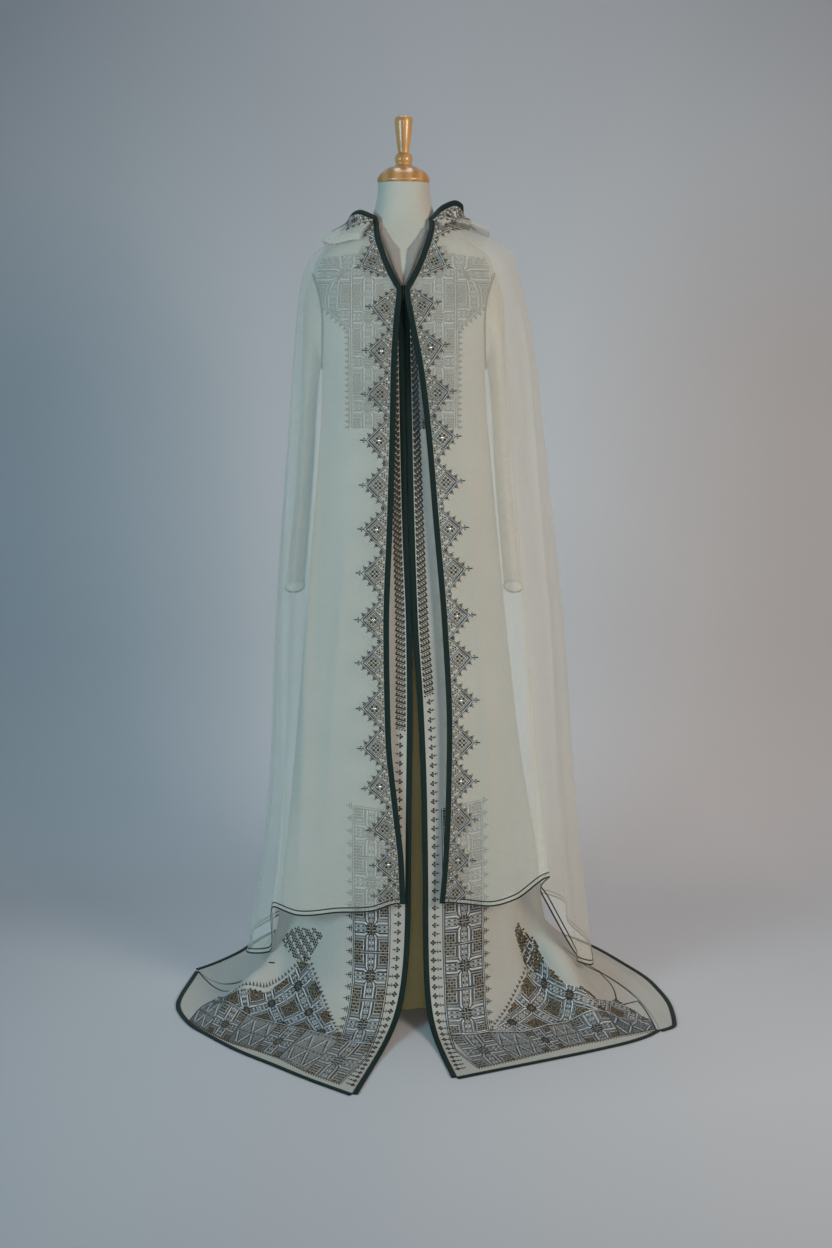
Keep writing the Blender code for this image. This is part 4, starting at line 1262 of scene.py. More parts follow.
class Wardrobe:
    """Builds each finish when it is first asked for, and dresses pieces in it."""

    def __init__(self) -> None:
        """Builds the shared effects."""
        self.effects = Effects()
        self.made: dict[Look, Material] = {}

    def put_on(self, piece: Piece, look: Look) -> None:
        """Gives a piece one finish."""
        if look not in self.made:
            self.made[look] = look.value.build(self.effects)
        piece.data.materials.clear()
        piece.data.materials.append(self.made[look])

    def dress(self, piece: Piece, slot: str, look: Look, *nodes: str) -> Piece:
        """Dresses a piece, makes it ride, hides the CAD nodes that it stands for and logs its triangles.

        Args:
            piece: the piece.
            slot: a material slot; not used.
            look: its finish.
            nodes: the CAD nodes.

        Returns:
            The same piece.
        """
        self.put_on(piece, look)
        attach(piece, ROOT)
        if nodes:
            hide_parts(*nodes)
        piece.data.calc_loop_triangles()
        LOG.info("%s: %d triangles", piece.name, len(piece.data.loop_triangles))
        return piece

    def trim(
        self, name: str, node: str, edge: Array, away: Array, normals: Array,
        width: float = BRAID_WIDTH, raised: float = 0.0
    ) -> Piece:
        """Sews dark braid along an edge.

        Args:
            name: the braid's name.
            node: the CAD node that it stands for.
            edge: the edge's points.
            away: for each point, the direction away from the cloth.
            normals: for each point, the cloth's outward normal.
            width: how wide the braid is.
            raised: how much further than usual it stands out.

        Returns:
            The braid.
        """
        reach, height = (-0.0006, SEAM_GAP + width), (-0.0003, BRAID_THICKNESS + raised)
        braid = edge_trim(name, edge, away, normals, reach, height)
        return self.dress(braid, "dark_braid", Look.BRAID, node)


# Stitching


class Thread(Enum):
    """The threads and trims that the pattern is sewn in."""

    GREY = Look.GREY
    DARK = Look.DARK
    GOLD = Look.GOLD
    SILVER = Look.SILVER
    MIRROR = Look.MIRROR
    CORD = Look.BRAID


@dataclass
class Stroke:
    """A line of stitches: its thread, its width in metres and its places."""

    thread: Thread
    width: float
    places: Array


@dataclass
class Knot:
    """A round stitch or small mirror: its thread, its radius in metres and its place."""

    thread: Thread
    radius: float
    place: Array


# Widths of stitches, from the close rows up, and how high threads stand for their width
ROW = 0.0015
ROW_PITCH = 0.0024
THIN = 0.0012
FINE = 0.0017
LINE = 0.0020
BAR = 0.0034
SEED = 0.0020
WIDE = 0.0024
RIDGE_RISE = 0.42
KNOT_RISE = 0.55
KNOT_CROWN = 0.62
LOWEST = 0.00035
HIGHEST = 0.0008
DARK, GOLD, SILVER, MIRROR = Thread.DARK, Thread.GOLD, Thread.SILVER, Thread.MIRROR


class Chart:
    """A piece of pattern, drawn in a plane and then laid on cloth."""

    def __init__(self) -> None:
        """Starts empty."""
        self.strokes: list[Stroke] = []
        self.knots: list[Knot] = []

    def line(self, thread: Thread, width: float, *places: Place) -> None:
        """Draws a line through places."""
        self.strokes.append(Stroke(thread, width, np.array(places, float)))

    def loop(self, thread: Thread, width: float, *places: Place) -> None:
        """Draws a closed line."""
        self.line(thread, width, *places, places[0])

    def knot(self, thread: Thread, radius: float, *places: Place) -> None:
        """Sets a knot at each place."""
        self.knots += [Knot(thread, radius, np.array(place, float)) for place in places]

    def take(self, other: Chart) -> None:
        """Adds another chart's stitches."""
        self.strokes += other.strokes
        self.knots += other.knots

    def moved(self, change: Callable[[Array], Array], scale: float = 1.0) -> Chart:
        """Gives a copy with every place changed.

        Args:
            change: takes places as rows of two and gives them back moved.
            scale: how much the widths grow.

        Returns:
            The moved chart.
        """
        made = Chart()
        made.strokes = [Stroke(s.thread, s.width * scale, change(s.places)) for s in self.strokes]
        made.knots = [Knot(k.thread, k.radius * scale, change(k.place[None])[0]) for k in self.knots]
        return made

    def set_at(self, place: Place, up: Place, size: float = MILLIMETRE) -> Chart:
        """Gives a copy set at a place and turned so that its own up points another way.

        Args:
            place: where the chart's origin goes, in metres.
            up: where the chart's second axis points.
            size: the length of one of the chart's units, in metres.

        Returns:
            The placed chart.
        """
        rise = unit(np.array(up, float)) * size
        side = np.array((rise[1], -rise[0]))
        start = np.array(place, float)
        return self.moved(lambda p: start + p[:, :1] * side + p[:, 1:] * rise)

    def stretched(self, corners: Line, scale: float = 1.0) -> Chart:
        """Gives a copy whose unit square is stretched between four corners.

        Args:
            corners: where (0, 0), (1, 0), (1, 1) and (0, 1) go, in metres.
            scale: how much the widths grow.

        Returns:
            The stretched chart.
        """
        a, b, c, d = (np.array(corner, float) for corner in corners)

        def change(p: Array) -> Array:
            """Blends the four corners."""
            x, y = p[:, :1], p[:, 1:]
            return (a * (1 - x) + b * x) * (1 - y) + (d * (1 - x) + c * x) * y

        return self.moved(change, scale)

    def inside(self, outline: Line, step: float = 0.005) -> Chart:
        """Gives a copy cut off at an outline.

        Args:
            outline: the outline's corners, in metres.
            step: how finely lines are cut.

        Returns:
            The stitches that lie inside.
        """
        corners = np.array(outline, float)
        made = Chart()
        made.knots = [k for k in self.knots if within(k.place[None], corners)[0]]
        for stroke in self.strokes:
            fine = resample(stroke.places, step)
            kept = within(fine, corners)
            if kept.all():
                made.strokes.append(stroke)
                continue
            cuts = np.flatnonzero(np.diff(kept.astype(int))) + 1
            for run, keep in zip(np.split(fine, cuts), np.split(kept, cuts)):
                if keep[0] and len(run) > 1:
                    made.strokes.append(Stroke(stroke.thread, stroke.width, run))
        return made


def within(places: Array, corners: Array) -> Array:
    """Tells which places lie inside an outline."""
    x, y = places[:, :1], places[:, 1:]
    ends = np.roll(corners, -1, axis=0)
    x0, y0, x1, y1 = corners[:, 0], corners[:, 1], ends[:, 0], ends[:, 1]
    spans = (y0 > y) != (y1 > y)
    rise = np.where(y1 == y0, 1e-12, y1 - y0)
    return (np.count_nonzero(spans & (x < x0 + (y - y0) * (x1 - x0) / rise), axis=1) % 2) == 1


def resample(places: Array, step: float) -> Array:
    """Adds places to a line so that none are further apart than a step."""
    lengths = np.linalg.norm(np.diff(places, axis=0), axis=1)
    counts = np.maximum(1, np.ceil(lengths / step)).astype(int)
    at = np.concatenate([k + np.arange(n) / n for k, n in enumerate(counts)] + [[len(counts)]])
    marks = np.arange(len(places))
    return np.stack([np.interp(at, marks, places[:, k]) for k in (0, 1)], axis=1)


class RowMap:
    """Finds places on a panel from the distance along its rows and the length up its edge."""

    def __init__(self, grid: ClothGrid, sign: int) -> None:
        """Measures the panel from its front edge.

        Args:
            grid: the panel.
            sign: 1 where the front edge is its first column, -1 where it is its last.
        """
        self.grid = grid
        self.sign = sign
        self.taken = grid.across if sign > 0 else (grid.across[-1:] - grid.across)[::-1]
        self.edge = grid.up[0 if sign > 0 else -1]

    def __call__(self, places: Array) -> tuple[Array, Array]:
        """Gives the points and normals of places."""
        row = np.interp(places[:, 1], self.edge, np.arange(len(self.edge)))
        j = np.clip(row.astype(int), 0, len(self.edge) - 2)
        taken = mix(self.taken[:, j], self.taken[:, j + 1], row - j)
        k = np.clip(np.count_nonzero(taken <= places[:, 0], axis=0) - 1, 0, len(taken) - 2)
        n = np.arange(len(places))
        low, high = taken[k, n], taken[k + 1, n]
        column = k + np.clip((places[:, 0] - low) / (high - low), 0.0, 1.0)
        return self.grid.place(column if self.sign > 0 else self.grid.cells[0] - column, row)


class EdgeMap:
    """Finds places on a panel from the length along an edge and the distance square to it."""

    steps: int = 8

    def __init__(self, grid: ClothGrid, columns: Array, rows: Array, inwards: tuple[int, int]) -> None:
        """Measures the edge.

        Args:
            grid: the panel.
            columns: the columns of the edge's points, in order along it.
            rows: their rows.
            inwards: the way into the panel, in cells.
        """
        self.grid = grid
        self.cells = np.stack(np.broadcast_arrays(columns, rows), axis=1).astype(float)
        self.edge, normals = grid.place(*self.cells.T)
        inside, _ = grid.place(*(self.cells + inwards).T)
        self.length = run_length(self.edge)
        square = unit(np.cross(normals, np.gradient(self.edge, axis=0)))
        self.way = square * np.sign(((inside - self.edge) * square).sum())

    def __call__(self, places: Array) -> tuple[Array, Array]:
        """Gives the points and normals of places, walking in from the edge."""
        at = np.interp(places[:, 0], self.length, np.arange(len(self.length)))
        start, way, cell = (read_along(v, at) for v in (self.edge, self.way, self.cells))
        for step in range(self.steps + 2):
            share = min(1.0, (step + 1) / self.steps)
            cell = self._nearer(cell, start + unit(way) * places[:, 1:] * share)
        return self.grid.place(*cell.T)

    def _nearer(self, cell: Array, target: Array) -> Array:
        """Moves cells towards the points of the panel that lie under targets."""
        away = target - self.grid.read(self.grid.points, *cell.T)
        over, rising = (self.grid.read(field, *cell.T) for field in self.grid.steps)
        a, b, c = ((p * q).sum(axis=1) for p, q in ((over, over), (over, rising), (rising, rising)))
        e, f = (away * over).sum(axis=1), (away * rising).sum(axis=1)
        scale = np.maximum(a * c - b * b, 1e-18)
        move = np.stack(((c * e - b * f) / scale, (a * f - b * e) / scale), axis=1)
        return np.clip(cell + np.clip(move, -6.0, 6.0), 0.0, np.array(self.grid.cells, float))


def chest_map(places: Array) -> tuple[Array, Array]:
    """Finds places on the robe's chest from how far across and how high they are."""
    x, z = places[:, 0], places[:, 1]

    def find(x: Array, z: Array) -> Array:
        """Turns to the direction in which the robe lies at x."""
        angle = np.degrees(np.arctan2(x, 0.1))
        for _ in range(8):
            angle = np.degrees(np.arcsin(np.clip(x / ROBE.reach(angle, z), -0.98, 0.98)))
        return ROBE.point(angle, z)

    here = find(x, z)
    across = find(x + 0.002, z) - find(x - 0.002, z)
    up = find(x, z + 0.002) - find(x, z - 0.002)
    return here, unit(np.cross(across, up))


@dataclass(frozen=True)
class Ground:
    """Cloth to sew on: what finds its inner face, its wall, and how low its stitches lie."""

    find: Mapping
    wall: float
    low: float = 1.0
    step: float = 0.006
    sunk: float = 0.00015

    def base(self, places: Array) -> tuple[Array, Array, Array]:
        """Gives the cloth's points under places, its normals, and where threads stand on it."""
        centres, normals = self.find(places)
        return centres, normals, centres + normals * (self.wall - self.sunk)


# A part of a thread's piece: its points, its faces (a triangle repeats its last corner), its map
Part = tuple[Array, Array, Array]


class Needle:
    """Turns charts into closed pieces of thread on cloth."""

    def __init__(self, wardrobe: Wardrobe) -> None:
        """Takes the finishes."""
        self.wardrobe = wardrobe

    def sew(self, name: str, chart: Chart, ground: Ground, slot: str) -> None:
        """Sews a chart on cloth, one piece for each thread.

        Args:
            name: what the pieces are called, before the thread's name.
            chart: the pattern.
            ground: the cloth.
            slot: a material slot, passed on but not used.
        """
        for thread in Thread:
            parts = []
            for wide in (False, True):
                lines = [s for s in chart.strokes if s.thread is thread and (s.width > WIDE) is wide]
                if lines:
                    parts.append(self._ridges(lines, ground, wide))
            knots = [k for k in chart.knots if k.thread is thread]
            if knots:
                parts.append(self._cushions(knots, ground))
            if parts:
                piece = self._piece(f"{name}_{thread.name.lower()}", parts)
                self.wardrobe.dress(piece, slot, thread.value)

    def _ridges(self, lines: list[Stroke], ground: Ground, wide: bool) -> Part:
        """Raises lines of stitches: low ridges, or flat bars where they are wide.

        Args:
            lines: the lines.
            ground: the cloth.
            wide: whether the lines are bars.

        Returns:
            The part.
        """
        runs = [resample(s.places, ground.step) for s in lines]
        counts = np.array([len(run) for run in runs])
        ends = np.cumsum(counts) - 1
        starts = ends - counts + 1
        total = int(counts.sum())
        widths = np.repeat([s.width for s in lines], counts)[:, None]
        centres, normals, base = ground.base(np.concatenate(runs))
        ahead, behind = np.arange(total) + 1, np.arange(total) - 1
        ahead[ends], behind[starts] = ends, starts
        along = unit(centres[ahead] - centres[behind])
        sides = unit(np.cross(normals, along))
        height = np.clip(widths * RIDGE_RISE, LOWEST, HIGHEST) * ground.low + ground.sunk
        stations = ((0.5, 0.0), (0.3, 1.0), (-0.3, 1.0), (-0.5, 0.0))
        if not wide:
            stations = ((0.5, 0.0), (0.0, 1.0), (-0.5, 0.0))
        ring = len(stations)
        points = np.stack([base + sides * widths * s + normals * height * h for s, h in stations], axis=1)
        steps = np.linalg.norm(centres - centres[behind], axis=1)
        walked = np.cumsum(steps)
        around_it = np.array([s for s, _ in stations])
        places = np.stack(np.broadcast_arrays(walked[:, None], around_it[None] * widths), axis=-1)
        inner = np.ones(total, bool)
        inner[ends] = False
        first = np.flatnonzero(inner) * ring
        last = first + ring
        faces = []
        for k in range(ring):
            n = (k + 1) % ring
            if n:
                faces.append(np.stack((first + k, first + n, last + n, last + k), axis=1))
            else:
                faces.append(np.stack((first, last, last + k, first + k), axis=1))
        back, front = starts * ring, ends * ring
        if wide:
            faces.append(np.stack((back, back + 3, back + 2, back + 1), axis=1))
            faces.append(np.stack((front, front + 1, front + 2, front + 3), axis=1))
        else:
            faces.append(np.stack((back, back + 2, back + 1, back + 1), axis=1))
            faces.append(np.stack((front, front + 1, front + 2, front + 2), axis=1))
        return points.reshape(-1, 3), np.concatenate(faces), places.reshape(-1, 2)

    def _cushions(self, knots: list[Knot], ground: Ground) -> Part:
        """Raises round stitches and mirrors.

        Args:
            knots: the knots.
            ground: the cloth.

        Returns:
            The part.
        """
        corners = 10 if knots[0].thread is Thread.MIRROR else 6
        spots = np.array([k.place for k in knots])
        radius = np.array([k.radius for k in knots])[:, None, None]
        centres, normals, base = ground.base(spots)
        beside, _ = ground.find(spots + np.array((0.0, 0.002)))
        along = unit(beside - centres)
        sides = unit(np.cross(normals, along))
        along = np.cross(sides, normals)
        turn = np.arange(corners) * 2 * math.pi / corners
        ring = np.cos(turn)[:, None] * along[:, None] + np.sin(turn)[:, None] * sides[:, None]
        base = base[:, None]
        rise = normals[:, None] * (np.minimum(radius * KNOT_RISE, HIGHEST) * ground.low + ground.sunk)
        low, high = base + ring * radius, base + ring * radius * KNOT_CROWN + rise
        points = np.concatenate((low, high), axis=1)
        first = (np.arange(len(knots)) * 2 * corners)[:, None]
        k = np.arange(corners)
        n = (k + 1) % corners
        sheets = [np.stack((k, n, n + corners, k + corners), axis=1)]
        fan = np.arange(1, corners - 1)
        zero = np.zeros_like(fan)
        sheets.append(np.stack((zero, fan + 1, fan, fan), axis=1))
        sheets.append(np.stack((zero, fan, fan + 1, fan + 1), axis=1) + corners)
        pattern = np.concatenate(sheets)
        faces = (first[:, :, None] + pattern[None]).reshape(-1, 4)
        flat = np.concatenate((np.cos(turn), np.cos(turn) * KNOT_CROWN))
        tall = np.concatenate((np.sin(turn), np.sin(turn) * KNOT_CROWN))
        places = np.stack((flat, tall), axis=1)[None] * radius + spots[:, None]
        return points.reshape(-1, 3), faces, places.reshape(-1, 2)

    def _piece(self, name: str, parts: list[Part]) -> Piece:
        """Joins parts in one mesh.

        Args:
            name: the piece's name.
            parts: the parts.

        Returns:
            The piece.
        """
        shift = np.cumsum([0] + [len(points) for points, _, _ in parts])
        points = np.concatenate([part[0] for part in parts])
        faces = np.concatenate([part[1] + at for part, at in zip(parts, shift)])
        places = np.concatenate([part[2] for part in parts])
        threes = faces[:, 2] == faces[:, 3]
        corners = np.concatenate((faces[~threes].ravel(), faces[threes][:, :3].ravel()))
        sizes = np.concatenate((np.full((~threes).sum(), 4), np.full(threes.sum(), 3)))
        mesh = bpy.data.meshes.new(name)
        mesh.vertices.add(len(points))
        mesh.vertices.foreach_set("co", points.ravel())
        mesh.loops.add(len(corners))
        mesh.loops.foreach_set("vertex_index", corners)
        mesh.polygons.add(len(sizes))
        mesh.polygons.foreach_set("loop_start", np.concatenate(([0], np.cumsum(sizes)[:-1])))
        mesh.update(calc_edges=True)
        set_map(mesh, CLOTH_MAP, places)
        piece = bpy.data.objects.new(name, mesh)
        bpy.context.scene.collection.objects.link(piece)
        smooth_over(piece, 70.0)
        return piece


# Patterns: the robe's charted in shares of a square, the others in millimetres


def four_ways(quarter: Chart) -> Chart:
    """Repeats a quarter of the unit square in all four corners."""
    whole = Chart()
    for x in (0.0, 1.0):
        for y in (0.0, 1.0):
            corner = np.array((x, y))
            whole.take(quarter.moved(lambda p, corner=corner: np.abs(p - corner)))
    return whole


def square_chart() -> Chart:
    """Draws a square of the robe's border: knotted corners, bars and a flower in the middle."""
    bars = Chart()
    bars.line(DARK, FINE, (0.335, 0.03), (0.335, 0.32), (0.385, 0.40))
    bars.line(SILVER, BAR, (0.372, 0.04), (0.372, 0.31), (0.412, 0.375))
    bars.line(DARK, FINE, (0.410, 0.03), (0.410, 0.29), (0.440, 0.345))
    for k in range(4):
        bars.knot(DARK if k % 2 else SILVER, SEED, (0.455, 0.06 + 0.07 * k))
    quarter = Chart()
    quarter.take(bars)
    quarter.take(bars.moved(lambda p: p[:, ::-1]))
    quarter.line(DARK, LINE, (0.305, 0.03), (0.305, 0.28), (0.03, 0.28))
    quarter.line(SILVER, LINE, (0.272, 0.04), (0.272, 0.245), (0.04, 0.245))
    for i in range(4):
        for j in range(4):
            quarter.knot(GOLD if (i + j) % 2 else DARK, 0.0027, (0.032 + 0.065 * i, 0.030 + 0.061 * j))
    quarter.knot(DARK, 0.0031, (0.420, 0.430))
    quarter.knot(DARK, 0.0024, (0.365, 0.440), (0.435, 0.370))
    quarter.knot(GOLD, 0.0018, (0.472, 0.445))
    whole = four_ways(quarter)
    for radius, reach in ((0.0030, 0.10), (0.0022, 0.05)):
        for k in range(4):
            turn = math.pi / 2 * k
            whole.knot(DARK, radius, (0.5 + reach * math.cos(turn), 0.5 + reach * math.sin(turn)))
    whole.knot(GOLD, 0.0024, (0.5, 0.5))
    return whole


def zigzag_chart() -> Chart:
    """Draws a field of the robe's hem band: slanting bars between rows of knots."""
    whole = Chart()
    for k in range(4):
        x = 0.06 + 0.235 * k
        lean = 0.16 if k % 2 else -0.16
        low, high = x + 0.06 - lean / 2, x + 0.06 + lean / 2
        whole.line(DARK, LINE, (low - 0.045, 0.10), (high - 0.045, 0.47))
        whole.line(SILVER, BAR, (low, 0.10), (high, 0.47))
        whole.line(DARK, FINE, (low + 0.045, 0.10), (high + 0.045, 0.47))
        whole.line(SILVER, BAR, (high, 0.60), (low, 0.90))
        whole.line(DARK, LINE, (high + 0.05, 0.60), (low + 0.05, 0.90))
        whole.knot(GOLD, 0.0028, (x + 0.12, 0.535))
        whole.knot(DARK, 0.0026, (x, 0.535))
    for k in range(9):
        whole.knot(DARK if k % 2 else GOLD, 0.0022, (0.05 + 0.11 * k, 0.05), (0.05 + 0.11 * k, 0.955))
        whole.knot(DARK, 0.0016, (0.10 + 0.10 * k, 0.30), (0.10 + 0.10 * k, 0.74))
    return whole


def pine_chart(height: float) -> Chart:
    """Draws a small sprig with its branches ending in knots."""
    whole = Chart()
    whole.line(DARK, FINE, (0.0, 0.0), (0.0, height * 0.95))
    for share, reach in ((0.16, 0.42), (0.48, 0.26)):
        ends = (-reach * height, height * share), (reach * height, height * share)
        whole.line(DARK, FINE, *ends)
        whole.knot(DARK, height * 0.00011, *ends)
    whole.knot(DARK, height * 0.00010, *((0.0, height * share) for share in (0.30, 0.64, 0.94)))
    return whole


def trefoil_chart() -> Chart:
    """Draws a three-lobed knot on a short stem."""
    whole = Chart()
    whole.line(GOLD, FINE, (0.0, 0.0), (0.0, 5.0))
    whole.knot(DARK, 0.0014, (-2.0, 2.6), (2.0, 2.6))
    whole.knot(GOLD, 0.0014, (0.0, 4.4))
    whole.knot(DARK, 0.0011, (0.0, 6.8))
    return whole


def fleur_chart() -> Chart:
    """Draws the small motif of the robe's front edge: three lobes and a stem."""
    whole = Chart()
    whole.knot(DARK, 0.0023, (-3.1, 0.4), (3.1, 0.4), (0.0, -2.8))
    whole.knot(GOLD, 0.0014, (0.0, 0.4))
    whole.line(DARK, FINE, (0.0, 1.2), (0.0, 9.5))
    whole.line(DARK, FINE, (-2.0, 5.4), (2.0, 5.4))
    return whole


def cross_chart() -> Chart:
    """Draws the motif lower on the front edge: a cross of four knots on a long stem."""
    whole = Chart()
    whole.knot(DARK, 0.0024, (-3.3, -3.0), (3.3, -3.0), (0.0, -6.0), (0.0, 0.0))
    whole.knot(GOLD, 0.0016, (0.0, -3.0))
    whole.line(DARK, FINE, (0.0, 0.0), (0.0, 9.0))
    whole.knot(DARK, 0.0012, (-2.2, 5.2), (2.2, 5.2))
    whole.knot(DARK, 0.0019, (0.0, 10.0))
    return whole


def ladder_chart() -> Chart:
    """Draws one rung of the dense column high on the front edge."""
    whole = Chart()
    whole.line(DARK, BAR, (-3.0, -9.0), (-3.0, 10.0))
    whole.line(DARK, LINE, (0.6, -7.0), (0.6, 8.0))
    whole.knot(DARK, 0.0021, (4.0, -7.5), (4.0, 7.5))
    whole.knot(GOLD, 0.0021, (4.0, -2.5), (4.0, 2.5))
    return whole


def diamond_chart(mirrored: bool) -> Chart:
    """Draws a diamond of the cape's border, from the edge at y = 0 to its tip.

    Args:
        mirrored: whether a round mirror is sewn in its middle.

    Returns:
        The chart, in millimetres.
    """
    whole = Chart()
    for thread, width, outer, inner in (
        (DARK, THIN, 42.4, 18.6), (SILVER, 0.0018, 40.3, 16.7), (DARK, THIN, 38.2, 14.8)
    ):
        whole.line(thread, width, (-outer, 0.4), (0.0, outer), (outer, 0.4))
        whole.loop(thread, width, (0.0, 18 - inner), (inner, 18), (0.0, 18 + inner), (-inner, 18))
    for i in range(-1, 2):
        for j in range(-1, 2):
            if i or j:
                place = ((i - j) * 4.0, 18.0 + (i + j) * 4.0)
                whole.knot(DARK if (i + j) % 2 else GOLD, 0.0027, place)
    thread, radius = (MIRROR, 0.0024) if mirrored else (DARK, 0.0020)
    whole.knot(thread, radius, (0.0, 18.0))
    for row in range(7):
        y = 2.2 + 4.3 * row
        for k in range(-9, 10):
            x = (k + 0.5 * (row % 2)) * 4.4
            if abs(x) + y < 35.5 and abs(x) + abs(y - 18) > 20.5:
                whole.knot((GOLD, DARK, GOLD, SILVER)[(3 * k + row) % 4], 0.0018, (x, y))
    trefoil = trefoil_chart()
    for side in (-1, 1):
        for share in (0.13, 0.36, 0.59, 0.82):
            place = (side * 42.5 * (1 - share), 42.5 * share)
            whole.take(trefoil.set_at(place, (side, 1.0), 1.0))
    whole.line(DARK, FINE, (0.0, 42.0), (0.0, 53.0))
    whole.knot(DARK, 0.0015, (-3.2, 46.2), (3.2, 46.2), (0.0, 49.0), (0.0, 52.6))
    return whole


def border_lines(chart: Chart, places: Line | Array, gap: float = 0.0018) -> None:
    """Draws a silver line between two dark ones."""
    places = np.array(places, float)
    way = unit(np.gradient(places, axis=0))
    side = np.stack((-way[:, 1], way[:, 0]), axis=1) * gap
    chart.line(SILVER, LINE, *places)
    chart.line(DARK, FINE, *(places + side))
    chart.line(DARK, FINE, *(places - side))


def along_line(
    chart: Chart, motif: Chart, places: Line | Array, pitch: float, side: float, off: float = 0.0
) -> None:
    """Sets a motif at even distances along a line.

    Args:
        chart: takes the motifs.
        motif: a chart in millimetres, whose second axis is to point away from the line.
        places: the line's points, in metres.
        pitch: the distance between motifs.
        side: 1 to point to the left of the line's way, -1 to the right.
        off: how far from the line the motifs stand.
    """
    line = np.array(places, float)
    here = read_along(line, thin_out(line, pitch))
    way = unit(np.gradient(here, axis=0))
    up = np.stack((-way[:, 1], way[:, 0]), axis=1) * side
    for place, direction in zip(here + up * off, up):
        chart.take(motif.set_at(place, direction))


def fill_rows(chart: Chart, first: Array, second: Array) -> None:
    """Lays close rows of grey thread between two lines."""
    at = thin_out(first, ROW_PITCH)
    for start, end in zip(read_along(first, at), read_along(second, at)):
        chart.line(Thread.GREY, ROW, start, end)


def fill_box(chart: Chart, outline: Line) -> None:
    """Lays close rows of grey thread over the box round an outline, given in metres."""
    (left, low), (right, high) = np.min(outline, axis=0), np.max(outline, axis=0)
    fill_rows(chart, np.array(((left, low), (left, high))), np.array(((right, low), (right, high))))


def fill_knots(chart: Chart, corners: Array, pitch: float, radius: float) -> None:
    """Fills an outline with close rows of dark and brown knots.

    Args:
        chart: takes the knots.
        corners: the outline's corners, in metres.
        pitch: the distance between knots.
        radius: their radius.
    """
    low, high = corners.min(axis=0), corners.max(axis=0)
    for row in range(int((high[1] - low[1]) / (pitch * 0.87)) + 1):
        xs = np.arange(low[0] + pitch * 0.5 * (row % 2), high[0], pitch)
        places = np.stack((xs, np.full_like(xs, low[1] + row * pitch * 0.87)), axis=1)
        for k in np.flatnonzero(within(places, corners)):
            thread = (DARK, GOLD, DARK, DARK, SILVER)[(2 * int(k) + 3 * row) % 5]
            chart.knot(thread, radius * (0.7 if thread is SILVER else 1.0), places[k])


# The pieces


@dataclass
class DressForm:
    """The limbless form: its covered torso and neck, the turned knob, the pole and the base."""

    wardrobe: Wardrobe
    cells: tuple[int, int] = (84, 96)
    pole_radius: float = 12.5
    pole_low: float = 22.4
    pole_high: float = 699.6

    def build(self) -> None:
        """Builds the form's pieces; the profiles are radii and heights in millimetres."""
        grid = ClothGrid(torso_surface, *self.cells, closed=True)
        torso = bend_grid("torso", grid.points, grid.places(), closed=True)
        close_up(torso)
        self.wardrobe.dress(torso, "form_cover", Look.FORM_COVER, "form_torso")
        knob = (
            (2, 1650), (8.5, 1649.8), (12.8, 1648.8), (15.2, 1646.8), (16.3, 1643.8), (16.4, 1639.8),
            (15.8, 1630), (14.6, 1618), (13.1, 1606), (11.5, 1595), (10.4, 1588), (10.3, 1585.2),
            (11.2, 1583.6), (13.2, 1582.5), (15, 1580.5), (16.1, 1577.2), (16.4, 1573.5), (15.8, 1569.8),
            (14.6, 1567.4), (14.3, 1565.8), (15, 1564), (17.2, 1562), (21.2, 1560.6), (26.8, 1558.8),
            (33, 1555.6), (39.2, 1551.2), (44, 1546.4), (47.4, 1541.4), (48.8, 1537.4), (48.6, 1534.6),
            (47.4, 1532.8), (45.5, 1532.4), (2, 1532.4)
        )
        r, low, high = self.pole_radius, self.pole_low, self.pole_high
        pole = (
            (2, high), (r - 0.8, high), (r, high - 0.8), (r, low + 90), (r + 0.5, low + 89.6),
            (r + 3, low + 88), (r + 3.2, low + 86), (r + 3.2, low + 0.8), (r + 2.6, low), (2, low)
        )
        base = (
            (2, 22), (28, 22), (30, 21.7), (34, 20.4), (42, 18.2), (62, 15.8), (86, 13.4), (108, 11.4),
            (114, 10.7), (117.6, 9.6), (119.4, 7.6), (120, 5.6), (120, 1), (119.2, 0), (2, 0)
        )
        for name, profile, segments, slot, look in (
            ("knob", knob, 64, "form_wood", Look.WOOD), ("pole", pole, 48, "form_metal", Look.STEEL),
            ("base", base, 96, "form_metal", Look.STEEL),
        ):
            turned = turn_on_lathe(name, in_metres(profile), segments)
            self.wardrobe.dress(turned, slot, look, f"form_{name}")


@dataclass(frozen=True)
class Cut:
    """How a cloth piece is cut and held: its width and length in metres, its area in square metres."""

    width: float
    length: float
    area: float
    held: str = "draped"

    def lay(
        self, piece: Piece, grid: ClothGrid, rests_on: Sequence[str], trims: Sequence[Piece] = ()
    ) -> None:
        """Declares a cloth, and logs its measured sizes beside its cut.

        Args:
            piece: the cloth.
            grid: its panel.
            rests_on: the pieces that carry it; not used.
            trims: the pieces sewn to it; not used.
        """
        across, up = grid.across[-1], grid.up[:, -1]
        LOG.info(
            "%s: area %.4f of %.4f, across %.3f to %.3f, up %.3f to %.3f", piece.name, grid.area(),
            self.area, across.min(), across.max(), up.min(), up.max()
        )


@dataclass
class Underskirt:
    """The plain skirt that shows in the robe's front gap."""

    wardrobe: Wardrobe
    cells: tuple[int, int] = (168, 56)
    cut: Cut = Cut(1.17, 0.99, 0.96, "gathered")

    def build(self) -> None:
        """Builds the skirt as one closed tube."""
        grid = ClothGrid(underskirt_surface, *self.cells, closed=True)
        skirt = sew_sheet("underskirt_cloth", grid, CLOTH)
        self.wardrobe.dress(skirt, "lining_cloth", Look.UNDERSKIRT, "underskirt")
        self.cut.lay(skirt, grid, ["torso"])


